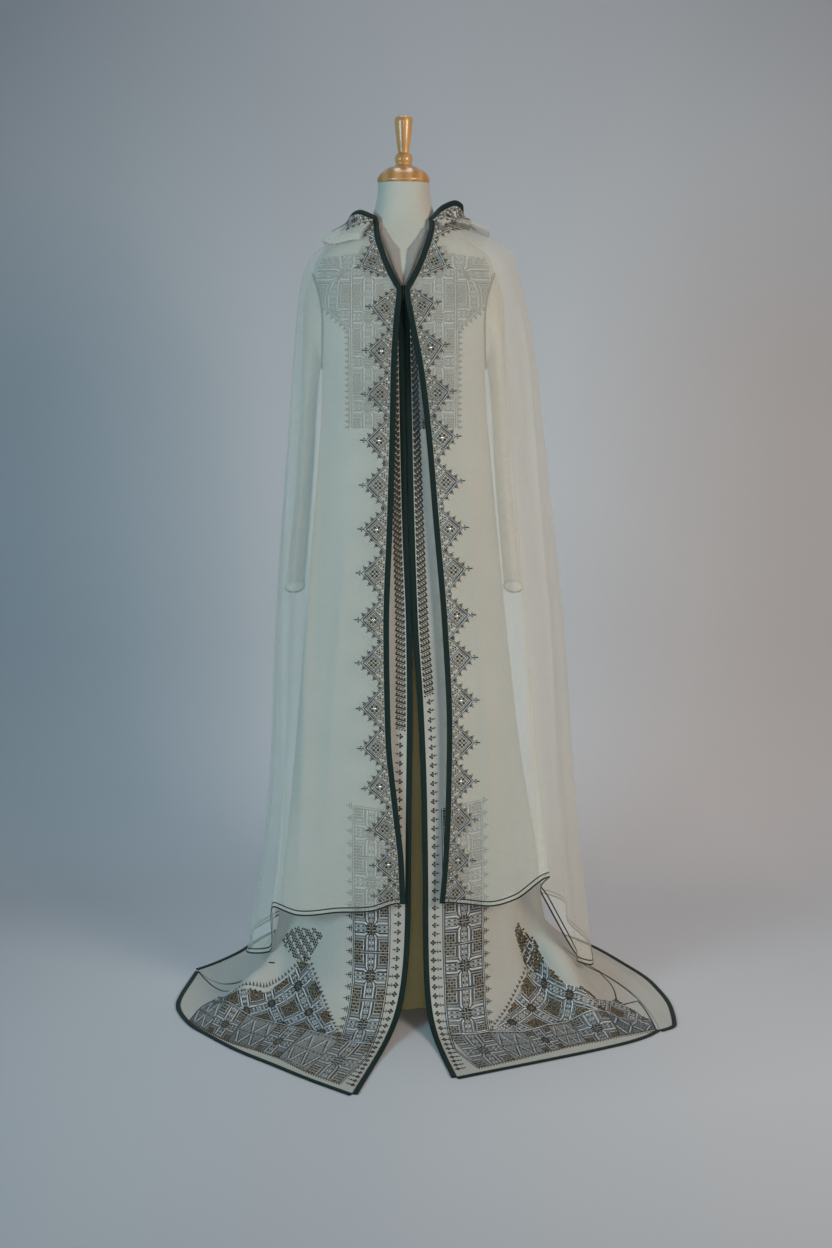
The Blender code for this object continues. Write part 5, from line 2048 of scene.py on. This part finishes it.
@dataclass
class Robe:
    """The inner robe: two fronts, a back, hanging sleeves, front braids and hem cords."""

    wardrobe: Wardrobe
    front_columns: int = 72
    back_columns: int = 120
    rows: int = 168
    sleeve_cells: tuple[int, int] = (64, 72)
    facing_cells: tuple[int, int] = (12, 30)
    facing_wall: float = 0.0008
    left_cut: Cut = Cut(0.69, 1.73, 0.50)
    right_cut: Cut = Cut(0.50, 1.89, 0.48)
    back_cut: Cut = Cut(1.50, 1.90, 0.97)
    sleeve_cut: Cut = Cut(0.47, 0.59, 0.145, "hung")

    def __post_init__(self) -> None:
        """Works out the panels, which the stitching needs as well."""
        self.fronts, self.sleeves = {}, {}
        for sign in SIDES:
            surface, creases = robe_front_surface(sign), ROBE_FRONT_CREASES[sign]
            self.fronts[sign] = ClothGrid(surface, self.front_columns, self.rows, creases=creases)
            self.sleeves[sign] = ClothGrid(sleeve_surface(sign), *self.sleeve_cells, closed=True)
        self.back = ClothGrid(robe_back_surface, self.back_columns, self.rows, creases=ROBE_BACK_CREASES)

    def build(self) -> None:
        """Builds the robe's cloth and trims."""
        dress = self.wardrobe.dress
        for sign, side in SIDES.items():
            grid = self.fronts[sign]
            front = sew_sheet(f"robe_front_{side}_cloth", grid, CLOTH)
            dress(front, "robe_cloth", Look.ROBE, f"robe_front_{side}")
            trims = [self._front_braid(sign, side), self._hem_cord(grid, side)]
            (self.right_cut if sign > 0 else self.left_cut).lay(front, grid, ["torso"], trims)
            sleeve = sew_sheet(f"sleeve_{side}_cloth", self.sleeves[sign], CLOTH)
            dress(sleeve, "sleeve_cloth", Look.SLEEVE, f"robe_sleeve_{side}")
            self.sleeve_cut.lay(sleeve, self.sleeves[sign], [front.name])
            inside = ClothGrid(facing_surface(sign), *self.facing_cells)
            facing = sew_sheet(f"neck_facing_{side}", inside, self.facing_wall)
            # The facing's darker tone is painted shade inside the neckline.
            dress(facing, "robe_cloth", Look.FACING)
        back = sew_sheet("robe_back_cloth", self.back, CLOTH)
        dress(back, "robe_cloth", Look.ROBE, "robe_back")
        self.back_cut.lay(back, self.back, ["torso"], [self._hem_cord(self.back, "back")])

    def _front_braid(self, sign: int, side: str) -> Piece:
        """Sews the braid along a front edge."""
        grid, k = self.fronts[sign], 0 if sign > 0 else -1
        away = unit(np.cross(grid.rising[k], grid.normals[k])) * -sign
        names = f"robe_front_braid_{side}", f"robe_braid_{side}"
        return self.wardrobe.trim(*names, grid.points[k], away, grid.normals[k])

    def _hem_cord(self, grid: ClothGrid, side: str) -> Piece:
        """Sews the cord along a hem."""
        hem, normals = grid.points[:, 0], grid.normals[:, 0]
        names = f"robe_hem_braid_{side}", f"robe_hem_cord_{side}"
        away = unit(np.cross(grid.over[:, 0], normals))
        return self.wardrobe.trim(*names, hem, away, normals, HEM_CORD_WIDTH)


@dataclass
class Cape:
    """The sheer cape: two halves, front braids, and the hood with its braid; its thin hem cords are sewn
    with the stitching.
    """

    wardrobe: Wardrobe
    cells: tuple[int, int] = (150, 120)
    hood_cells: tuple[int, int] = (132, 60)
    raised: float = 0.0004
    left_cut: Cut = Cut(1.02, 1.49, 0.90)
    right_cut: Cut = Cut(1.13, 1.53, 0.97)
    hood_cut: Cut = Cut(0.92, 0.48, 0.142)

    def __post_init__(self) -> None:
        """Works out the panels, which the stitching needs as well."""
        self.halves = {
            sign: ClothGrid(cape_surface(sign), *self.cells, creases=CAPE_CREASES[sign])
            for sign in SIDES
        }
        self.hood = ClothGrid(hood_surface, *self.hood_cells, facing=-1.0, creases=HOOD_CREASES)

    def build(self) -> None:
        """Builds the cape's cloth and trims."""
        for sign, side in SIDES.items():
            grid = self.halves[sign]
            half = sew_sheet(f"cape_{side}_cloth", grid, CAPE_CLOTH)
            self.wardrobe.dress(half, "cape_cloth", Look.CAPE, f"cape_{side}")
            cut = self.right_cut if sign > 0 else self.left_cut
            below = ["robe_back_cloth", f"robe_front_{side}_cloth"]
            cut.lay(half, grid, below, [self._front_braid(sign, side)])
        grid = self.hood
        hood = sew_sheet("hood_cloth", grid, CAPE_CLOTH)
        self.wardrobe.dress(hood, "cape_cloth", Look.CAPE, "hood")
        rim, away, normals = grid.points[:, 0], -grid.rising[:, 0], grid.normals[:, 0]
        names = "hood_rim_braid", "hood_braid"
        braid = self.wardrobe.trim(*names, rim, away, normals, raised=self.raised)
        self.hood_cut.lay(hood, grid, ["cape_left_cloth"], [braid])

    def _front_braid(self, sign: int, side: str) -> Piece:
        """Sews the braid up a front edge and along the neckline to the hood's rim."""
        grid = self.halves[sign]
        columns, rows = grid.cells
        top, neck = grid.across[:, -1], grid.points[:, -1]
        taken = top if sign > 0 else top[-1] - top
        angles = np.degrees(np.arctan2(neck[:, 0] * sign, -neck[:, 1]))
        order = np.argsort(taken)
        reach = np.interp(HOOD_START_ANGLE, angles[order], taken[order])
        along_neck = [k for k in order if 0.0 < taken[k] <= reach]
        i = np.array([0 if sign > 0 else columns] * (rows + 1) + along_neck)
        j = np.array(list(range(rows + 1)) + [rows] * len(along_neck))
        edge, normals = grid.points[i, j], grid.normals[i, j]
        away = unit(np.cross(unit(np.gradient(edge, axis=0)), normals)) * -sign
        k, half = 0 if sign > 0 else -1, (SEAM_GAP + BRAID_WIDTH) / 2
        rim = self.hood.points[k, 0] - self.hood.rising[k, 0] * half - away[-1] * half
        ends = (edge, rim), (away, away[-1]), (normals, normals[-1])
        lines = (np.concatenate((line, [end])) for line, end in ends)
        names = f"cape_front_braid_{side}", f"cape_braid_{side}"
        return self.wardrobe.trim(*names, *lines, raised=self.raised)


# Creases: both ends as shares across and up the panel, then width and height in metres
ROBE_FRONT_CREASES = {
    -1: ((0.06, 0.1, 0.3, 0.21, 0.014, 0.006), (0.12, 0.27, 0.36, 0.42, 0.02, 0.007)),
    1: (
        (0.735, 0.42, 0.82, 0.14, 0.018, 0.018), (0.64, 0.4, 0.72, 0.2, 0.02, -0.012),
        (0.88, 0.3, 0.92, 0.06, 0.014, 0.007)
    ),
}
ROBE_BACK_CREASES = (
    (0.22, 0.62, 0.13, 0.05, 0.022, 0.006), (0.41, 0.5, 0.37, 0.06, 0.026, 0.007),
    (0.58, 0.58, 0.62, 0.05, 0.02, 0.006), (0.79, 0.54, 0.87, 0.06, 0.024, 0.007)
)
CAPE_CREASES = {
    -1: (
        (0.57, 0.64, 0.615, 0.04, 0.009, 0.007), (0.71, 0.5, 0.765, 0.03, 0.012, 0.006),
        (0.85, 0.36, 0.815, 0.04, 0.014, 0.004), (0.4, 0.6, 0.37, 0.05, 0.012, 0.007),
        (0.2, 0.66, 0.17, 0.04, 0.014, 0.007), (0.06, 0.48, 0.05, 0.06, 0.012, 0.006)
    ),
    1: (
        (0.44, 0.64, 0.37, 0.03, 0.009, 0.008), (0.32, 0.6, 0.235, 0.04, 0.011, 0.006),
        (0.13, 0.42, 0.14, 0.05, 0.014, 0.004), (0.58, 0.56, 0.62, 0.04, 0.012, 0.007),
        (0.77, 0.64, 0.82, 0.05, 0.014, 0.007), (0.93, 0.52, 0.94, 0.06, 0.012, 0.006)
    ),
}
HOOD_CREASES = (
    (0.3, 0.3, 0.44, 0.85, 0.009, 0.003), (0.62, 0.25, 0.55, 0.8, 0.01, 0.003),
    (0.15, 0.35, 0.28, 0.7, 0.008, 0.002)
)


# The stitched pattern and the thin trims


class FrontPattern(NamedTuple):
    """The pattern's places on a front of the robe: from its edge and up along it, in mm."""

    inner: Line
    outer: Line
    tops: tuple[float, ...]
    band_tops: Line
    band_bottoms: Line
    flower: Place
    first: Place
    second: Place
    pyramid: Line
    cluster: Line
    fringe: Line


FRONT_PATTERNS = {
    -1: FrontPattern(
        inner=((14, 138), (17, 189), (25.5, 299), (28, 387), (30, 475), (30, 563), (30, 650)),
        outer=((75, 130), (75.4, 189), (86.3, 299), (92.6, 387), (96, 475), (97, 563), (97, 650)),
        tops=(189, 299, 387, 475, 563, 650),
        band_tops=((17, 189), (79, 196), (150, 197), (212, 196), (290, 181), (350, 169),
                   (414, 157.5)),
        band_bottoms=((34, 19), (110, 22), (180, 37), (238, 34), (310, 15), (375, 10), (440, 6)),
        flower=(249.3, 243.6),
        first=(-45.0, 56.0),
        second=(-42.0, -49.0),
        pyramid=((79, 197), (186, 345), (206, 347), (274, 256), (345, 205), (411, 160),
                 (290, 183), (212, 198), (150, 199)),
        cluster=((192, 350), (160, 404), (180, 412), (237, 404), (268, 362), (215, 345)),
        fringe=((84, 205), (190, 352), (203, 352), (276, 262), (347, 211), (412, 165)),
    ),
    1: FrontPattern(
        inner=((20, 112), (21.9, 164), (28.9, 257), (28.9, 340), (29, 424), (29, 508), (29, 592)),
        outer=((93, 110), (93.5, 160), (104.8, 254), (107.3, 337), (108.2, 421), (108.5, 505),
               (108.5, 589)),
        tops=(162, 255, 338, 422, 506, 590),
        band_tops=((21.9, 162), (93.5, 157), (158, 137), (212, 144), (260, 136), (344, 96),
                   (437, 24)),
        band_bottoms=((46, 20), (118, 27), (180, 34), (222, 38), (268, 38), (340, 28), (425, 2)),
        flower=(195.5, 194.3),
        first=(50.0, 25.0),
        second=(45.0, -58.0),
        pyramid=((105, 159), (150, 202), (209, 262), (185, 338), (200, 343), (250, 281),
                 (300, 171), (350, 127), (425, 115), (436, 26), (344, 98), (260, 138), (212, 146),
                 (158, 139)),
        cluster=((182, 343), (204, 350), (256, 282), (272, 234), (236, 244), (208, 280)),
        fringe=((106, 166), (150, 208), (205, 264)),
    ),
}

CAPE_DIAMONDS = {
    -1: (16, 74, 143, 220, 291, 362, 445, 522, 605, 684, 763, 843, 925, 1001, 1076),
    1: (21, 80, 155, 226, 297, 373, 450, 527, 610, 684, 768, 847, 926, 1006, 1083)
}
NECK_DIAMONDS = (0.066, 0.145)
RIM_DIAMONDS = 9

# The chest's pattern, in metres across and up, as seen on the right.
CHEST_OUTLINE = (
    (0.012, 1.096), (0.093, 1.094), (0.094, 1.272), (0.154, 1.322), (0.160, 1.370), (0.150, 1.396),
    (0.104, 1.408), (0.070, 1.420), (0.040, 1.400), (0.014, 1.355)
)
CHEST_EDGE = ((0.095, 1.096), (0.096, 1.271), (0.156, 1.321), (0.161, 1.366))
CHEST_INNER_EDGE = ((0.0925, 1.272), (0.0925, 1.405))

# The chest's columns of squares: both sides, where they start, a square's height and the count
CHEST_COLUMNS = ((0.034, 0.091, 1.094, 0.079, 4), (0.095, 0.158, 1.262, 0.07, 2))

# The thin cords on the robe's side hems: from the front edge and up along it, in mm
SIDE_CORDS = {
    -1: (((691, 0), (525.8, 112.7), (403.3, 201.9)), ((289, 300), (274, 311))),
    1: (((485.9, 208.2), (500.3, 179.7), (473.3, 149.2), (423.9, 112.3), (419.3, 96.0),
         (468.6, 85.7), (454.8, 55.9), (423.9, 0)),),
}


@dataclass
class Stitching:
    """The threads on the robe and the cape, and the thin cords."""

    wardrobe: Wardrobe
    robe: Robe
    cape: Cape
    sprig_pitch: float = 0.022
    motif_pitch: float = 0.0165
    motif_off: float = 0.012
    ladder_from: float = 0.80
    fleur_from: float = 0.36
    hem_cords: tuple[Place, ...] = ((0.0018, 0.0030), (0.0098, 0.0024))
    side_cord: float = 0.0028
    chest_lift: float = 0.0004
    piping: float = 0.0030

    def build(self) -> None:
        """Sews everything."""
        needle = Needle(self.wardrobe)
        for sign, side in SIDES.items():
            grid = self.robe.fronts[sign]
            chart = self._front(sign, grid)
            ground = Ground(RowMap(grid, sign), CLOTH)
            needle.sew(f"robe_stitches_{side}", chart, ground, "robe_cloth")
            ground = Ground(chest_map, CLOTH + self.chest_lift, low=0.8)
            needle.sew(f"chest_stitches_{side}", self._chest(sign), ground, "robe_cloth")
            half = self.cape.halves[sign]
            columns, rows = half.cells
            front = EdgeMap(
                half, np.full(rows + 1, 0 if sign > 0 else columns), np.arange(rows + 1), (sign, 0)
            )
            places = in_metres(CAPE_DIAMONDS[sign])
            chart = self._diamonds(places, 0.97 * MILLIMETRE, 0.004, 1.12)
            needle.sew(f"cape_stitches_{side}", chart, Ground(front, CAPE_CLOTH), "cape_cloth")
            order = np.arange(columns + 1)[::sign]
            neck = EdgeMap(half, order, np.full(columns + 1, rows), (0, -1))
            chart = self._diamonds(NECK_DIAMONDS, 0.92 * MILLIMETRE, 0.030, 0.30)
            needle.sew(f"neck_stitches_{side}", chart, Ground(neck, CAPE_CLOTH), "cape_cloth")
            hem = EdgeMap(half, np.arange(columns + 1), np.zeros(columns + 1), (0, 1))
            chart = Chart()
            for off, width in self.hem_cords:
                chart.line(Thread.CORD, width, (0.001, off), (hem.length[-1] - 0.001, off))
            needle.sew(f"cape_hem_cords_{side}", chart, Ground(hem, CAPE_CLOTH), "dark_braid")
            sleeve = self.robe.sleeves[sign]
            around = np.arange(sleeve.cells[0] + 1)
            for name, row, inwards in (("armhole", sleeve.cells[1], -1), ("cuff", 0, 1)):
                ring = EdgeMap(sleeve, around, np.full(len(around), row), (0, inwards))
                chart = Chart()
                chart.line(Thread.CORD, self.piping, (0.0, 0.002), (ring.length[-1], 0.002))
                needle.sew(f"{name}_piping_{side}", chart, Ground(ring, CLOTH), "dark_braid")
        hood = self.cape.hood
        rim = EdgeMap(hood, np.arange(hood.cells[0] + 1), np.zeros(hood.cells[0] + 1), (0, 1))
        pitch = rim.length[-1] / RIM_DIAMONDS
        places = (np.arange(RIM_DIAMONDS) + 0.5) * pitch
        chart = self._diamonds(places, pitch / 84.0, 0.0, rim.length[-1])
        needle.sew("hood_stitches", chart, Ground(rim, CAPE_CLOTH), "cape_cloth")

    def _front(self, sign: int, grid: ClothGrid) -> Chart:
        """Charts a front of the robe.

        Args:
            sign: -1 for the left front, 1 for the right.
            grid: the front's panel.

        Returns:
            The chart, in metres from the front edge and up along it.
        """
        plan = FRONT_PATTERNS[sign]
        chart = Chart()
        square, zigzag = square_chart(), zigzag_chart()
        inner, outer = in_metres(plan.inner), in_metres(plan.outer)
        tops = np.array(plan.tops) * MILLIMETRE
        fill_rows(chart, inner[1:], outer[1:])
        fill_rows(chart, in_metres(plan.band_tops), in_metres(plan.band_bottoms))
        ladder = []
        for top in tops:
            ladder.append([(np.interp(top, line[:, 1], line[:, 0]), top) for line in (inner, outer)])
            border_lines(chart, ladder[-1])
        for (a, b), (d, c) in zip(ladder, ladder[1:]):
            chart.take(square.stretched((a, b, c, d)))
        for line in (inner, outer):
            border_lines(chart, line[1:])
        along_line(chart, pine_chart(12.0), outer[1:], self.sprig_pitch, -1.0, 0.0035)
        band = list(zip(in_metres(plan.band_tops), in_metres(plan.band_bottoms)))
        for k, ((top, bottom), (next_top, next_bottom)) in enumerate(zip(band, band[1:])):
            pattern = zigzag if k % 2 else square
            chart.take(pattern.stretched((bottom, next_bottom, next_top, top)))
            chart.line(DARK, LINE, next_top, next_bottom)
        border_lines(chart, in_metres(plan.band_tops))
        border_lines(chart, in_metres((plan.inner[1], plan.inner[0], plan.band_bottoms[0])))
        bottoms = in_metres(plan.band_bottoms)
        chart.line(DARK, FINE, *bottoms)
        dot = Chart()
        dot.knot(DARK, 0.0016, (0.0, 0.0))
        dot.knot(GOLD, 0.0014, (2.5, -4.6))
        along_line(chart, dot, bottoms, 0.0058, -1.0, 0.004)
        for cord in SIDE_CORDS[sign]:
            chart.line(Thread.CORD, self.side_cord, *in_metres(cord))
        chart.take(self._pyramid(plan, square))
        chart.take(self._edge_column(grid, sign))
        return chart

    def _pyramid(self, plan: FrontPattern, square: Chart) -> Chart:
        """Charts the pyramid: the border's square on a slant, cut off at its outline."""
        whole = Chart()
        fill_box(whole, in_metres(plan.pyramid))
        start, first, second = in_metres((plan.flower, plan.first, plan.second))
        for i in range(-3, 5):
            for j in range(-4, 5):
                middle = start + i * first + j * second
                corners = [
                    middle + (s * first + t * second) / 2
                    for s, t in ((-1, -1), (1, -1), (1, 1), (-1, 1))
                ]
                whole.take(square.stretched(corners))
        chart = whole.inside(in_metres(plan.pyramid))
        fill_knots(chart, in_metres(plan.cluster), 0.0054, 0.0027)
        along_line(chart, pine_chart(7.0), in_metres(plan.fringe), 0.0095, 1.0)
        return chart

    def _edge_column(self, grid: ClothGrid, sign: int) -> Chart:
        """Charts the column of small motifs beside the front edge."""
        top = float(grid.up[0 if sign > 0 else -1, -1])
        chart = Chart()
        fleur, cross, rung = fleur_chart(), cross_chart(), ladder_chart()
        place = 0.030
        while place < top - 0.010:
            motif, pitch = cross, self.motif_pitch
            if place > self.fleur_from:
                motif = fleur
            if place > self.ladder_from:
                motif, pitch = rung, 0.0105
            chart.take(motif.set_at((self.motif_off, place), (1.0, 0.0)))
            place += pitch
        return chart

    def _chest(self, sign: int) -> Chart:
        """Charts the pattern that shows through the cape on the chest."""
        turn = np.array((sign, 1.0))
        chart = Chart()
        fill_box(chart, CHEST_OUTLINE)
        square = square_chart()
        for near, far, start, tall, count in CHEST_COLUMNS:
            for k in range(count):
                low, high = start + tall * k, start + tall * (k + 1)
                corners = ((near, low), (far, low), (far, high), (near, high))
                chart.take(square.stretched(corners, 0.8))
        chart = chart.inside(CHEST_OUTLINE)
        border_lines(chart, CHEST_EDGE)
        border_lines(chart, CHEST_INNER_EDGE)
        along_line(chart, pine_chart(7.0), CHEST_EDGE, 0.0105, -1.0, 0.003)
        return chart.moved(lambda p: p * turn)

    def _diamonds(self, places: Sequence[float], size: float, low: float, high: float) -> Chart:
        """Charts a row of the cape's diamonds along an edge.

        Args:
            places: where their middles lie along the edge, in metres.
            size: the length of one of the diamond's units.
            low: where along the edge the row is cut off.
            high: where it is cut off at its other end.

        Returns:
            The chart: metres along the edge, and in from it.
        """
        chart = Chart()
        kinds = [diamond_chart(False), diamond_chart(True)]
        for k, place in enumerate(places):
            chart.take(kinds[k % 2].set_at((place, 0.0012), (0.0, 1.0), size))
        return chart.inside(((low, 0.0004), (high, 0.0004), (high, 0.2), (low, 0.2)))


# The studio


@dataclass(frozen=True)
class Lamp:
    """A soft lamp: its place and target, its size, power and colour."""

    name: str
    place: tuple[float, float, float]
    target: tuple[float, float, float]
    size: float
    power: float
    colour: Colour


@dataclass
class Studio:
    """The seamless paper, the lamps, the world and the camera."""

    wardrobe: Wardrobe
    wall_y: float = 0.95
    cove: float = 0.44
    half_width: float = 3.2
    front_y: float = -3.6
    wall_top: float = 3.4
    columns: int = 24
    rows: int = 64
    camera_place: tuple[float, float, float] = (0.0225, -3.25, 1.30)
    camera_tilt: float = 79.81
    lens: float = 50.0
    frame_height: float = 36.0
    world: Colour = (0.54, 0.58, 0.66)
    world_power: float = 0.24
    beyond: Colour = (0.26, 0.28, 0.32)
    lamps: tuple[Lamp, ...] = (
        Lamp("key", (2.3, -2.3, 1.75), (0.0, 0.0, 1.1), 1.2, 58.0, (1.0, 0.87, 0.72)),
        Lamp("fill", (-2.3, -2.3, 1.6), (0.0, 0.0, 1.15), 1.2, 50.0, (0.49, 0.85, 1.0)),
        Lamp("front", (0.0, -3.4, 1.7), (0.0, 0.0, 0.5), 0.5, 6.0, (1.0, 0.92, 0.80)),
        Lamp("back", (0.0, 0.55, 3.0), (0.0, 0.1, 0.7), 0.9, 9.0, (0.96, 0.97, 1.0))
    )

    def build(self) -> None:
        """Builds the studio."""
        self._paper()
        for lamp in self.lamps:
            self._lamp(lamp)
        self._world()
        self._camera()
        scene = bpy.context.scene
        scene.view_settings.view_transform = "Standard"
        scene.cycles.transparent_max_bounces = 40

    def _paper(self) -> None:
        """Bends the paper from the floor up the wall."""
        floor = self.wall_y - self.cove - self.front_y
        arc = self.cove * math.pi / 2
        total = floor + arc + self.wall_top - self.cove
        run = np.linspace(0.0, total, self.rows + 1)
        turn = np.clip((run - floor) / self.cove, 0.0, math.pi / 2)
        y = self.front_y + np.minimum(run, floor) + self.cove * np.sin(turn)
        z = self.cove * (1 - np.cos(turn)) + np.maximum(0.0, run - floor - arc)
        x = np.linspace(-self.half_width, self.half_width, self.columns + 1)
        points = np.stack(np.broadcast_arrays(x[:, None], y[None], z[None]), axis=-1)
        paper = bend_grid("seamless_paper", points, points[..., :2])
        smooth_over(paper, 60.0)
        self.wardrobe.put_on(paper, Look.PAPER)

    def _lamp(self, lamp: Lamp) -> None:
        """Hangs a lamp and turns it to its target."""
        clear_selection()
        bpy.ops.object.light_add(type="AREA", location=lamp.place)
        made = take_new(lamp.name)
        made.data.size = lamp.size
        made.data.energy = lamp.power
        made.data.color = lamp.colour
        way = np.array(lamp.target) - np.array(lamp.place)
        made.rotation_euler = (
            math.acos(-way[2] / np.linalg.norm(way)), 0.0, math.atan2(way[1], way[0]) - math.pi / 2
        )

    def _world(self) -> None:
        """Lights everything faintly from all around, and shows as a pale tone past the paper."""
        world = bpy.data.worlds.new("studio_air")
        world.use_nodes = True
        make = Nodes(world.node_tree)
        light = world.node_tree.nodes["Background"]
        light.inputs["Color"].default_value = opaque(self.world)
        light.inputs["Strength"].default_value = self.world_power
        shown = make.add("ShaderNodeBackground", {"Color": opaque(self.beyond)})
        seen = make.add("ShaderNodeLightPath").outputs["Is Camera Ray"]
        both = make.add("ShaderNodeMixShader", {0: seen, 1: light.outputs[0], 2: shown.outputs[0]})
        make.give(world.node_tree.nodes["World Output"].inputs["Surface"], both.outputs[0])
        bpy.context.scene.world = world

    def _camera(self) -> None:
        """Places the camera."""
        clear_selection()
        bpy.ops.object.camera_add(
            location=self.camera_place, rotation=(math.radians(self.camera_tilt), 0.0, 0.0)
        )
        camera = take_new("camera")
        camera.data.sensor_fit = "VERTICAL"
        camera.data.sensor_height = self.frame_height
        camera.data.lens = self.lens
        camera.data.clip_end = 40.0
        bpy.context.scene.camera = camera


def main() -> None:
    """Builds the garment on its form, and the studio round it."""
    logging.basicConfig(level=logging.INFO, format="%(message)s", stream=sys.stdout)
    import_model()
    wardrobe = Wardrobe()
    studio = Studio(wardrobe)
    studio.build()
    DressForm(wardrobe).build()
    Underskirt(wardrobe).build()
    robe = Robe(wardrobe)
    robe.build()
    cape = Cape(wardrobe)
    cape.build()
    Stitching(wardrobe, robe, cape).build()


if __name__ == "__main__":
    main()
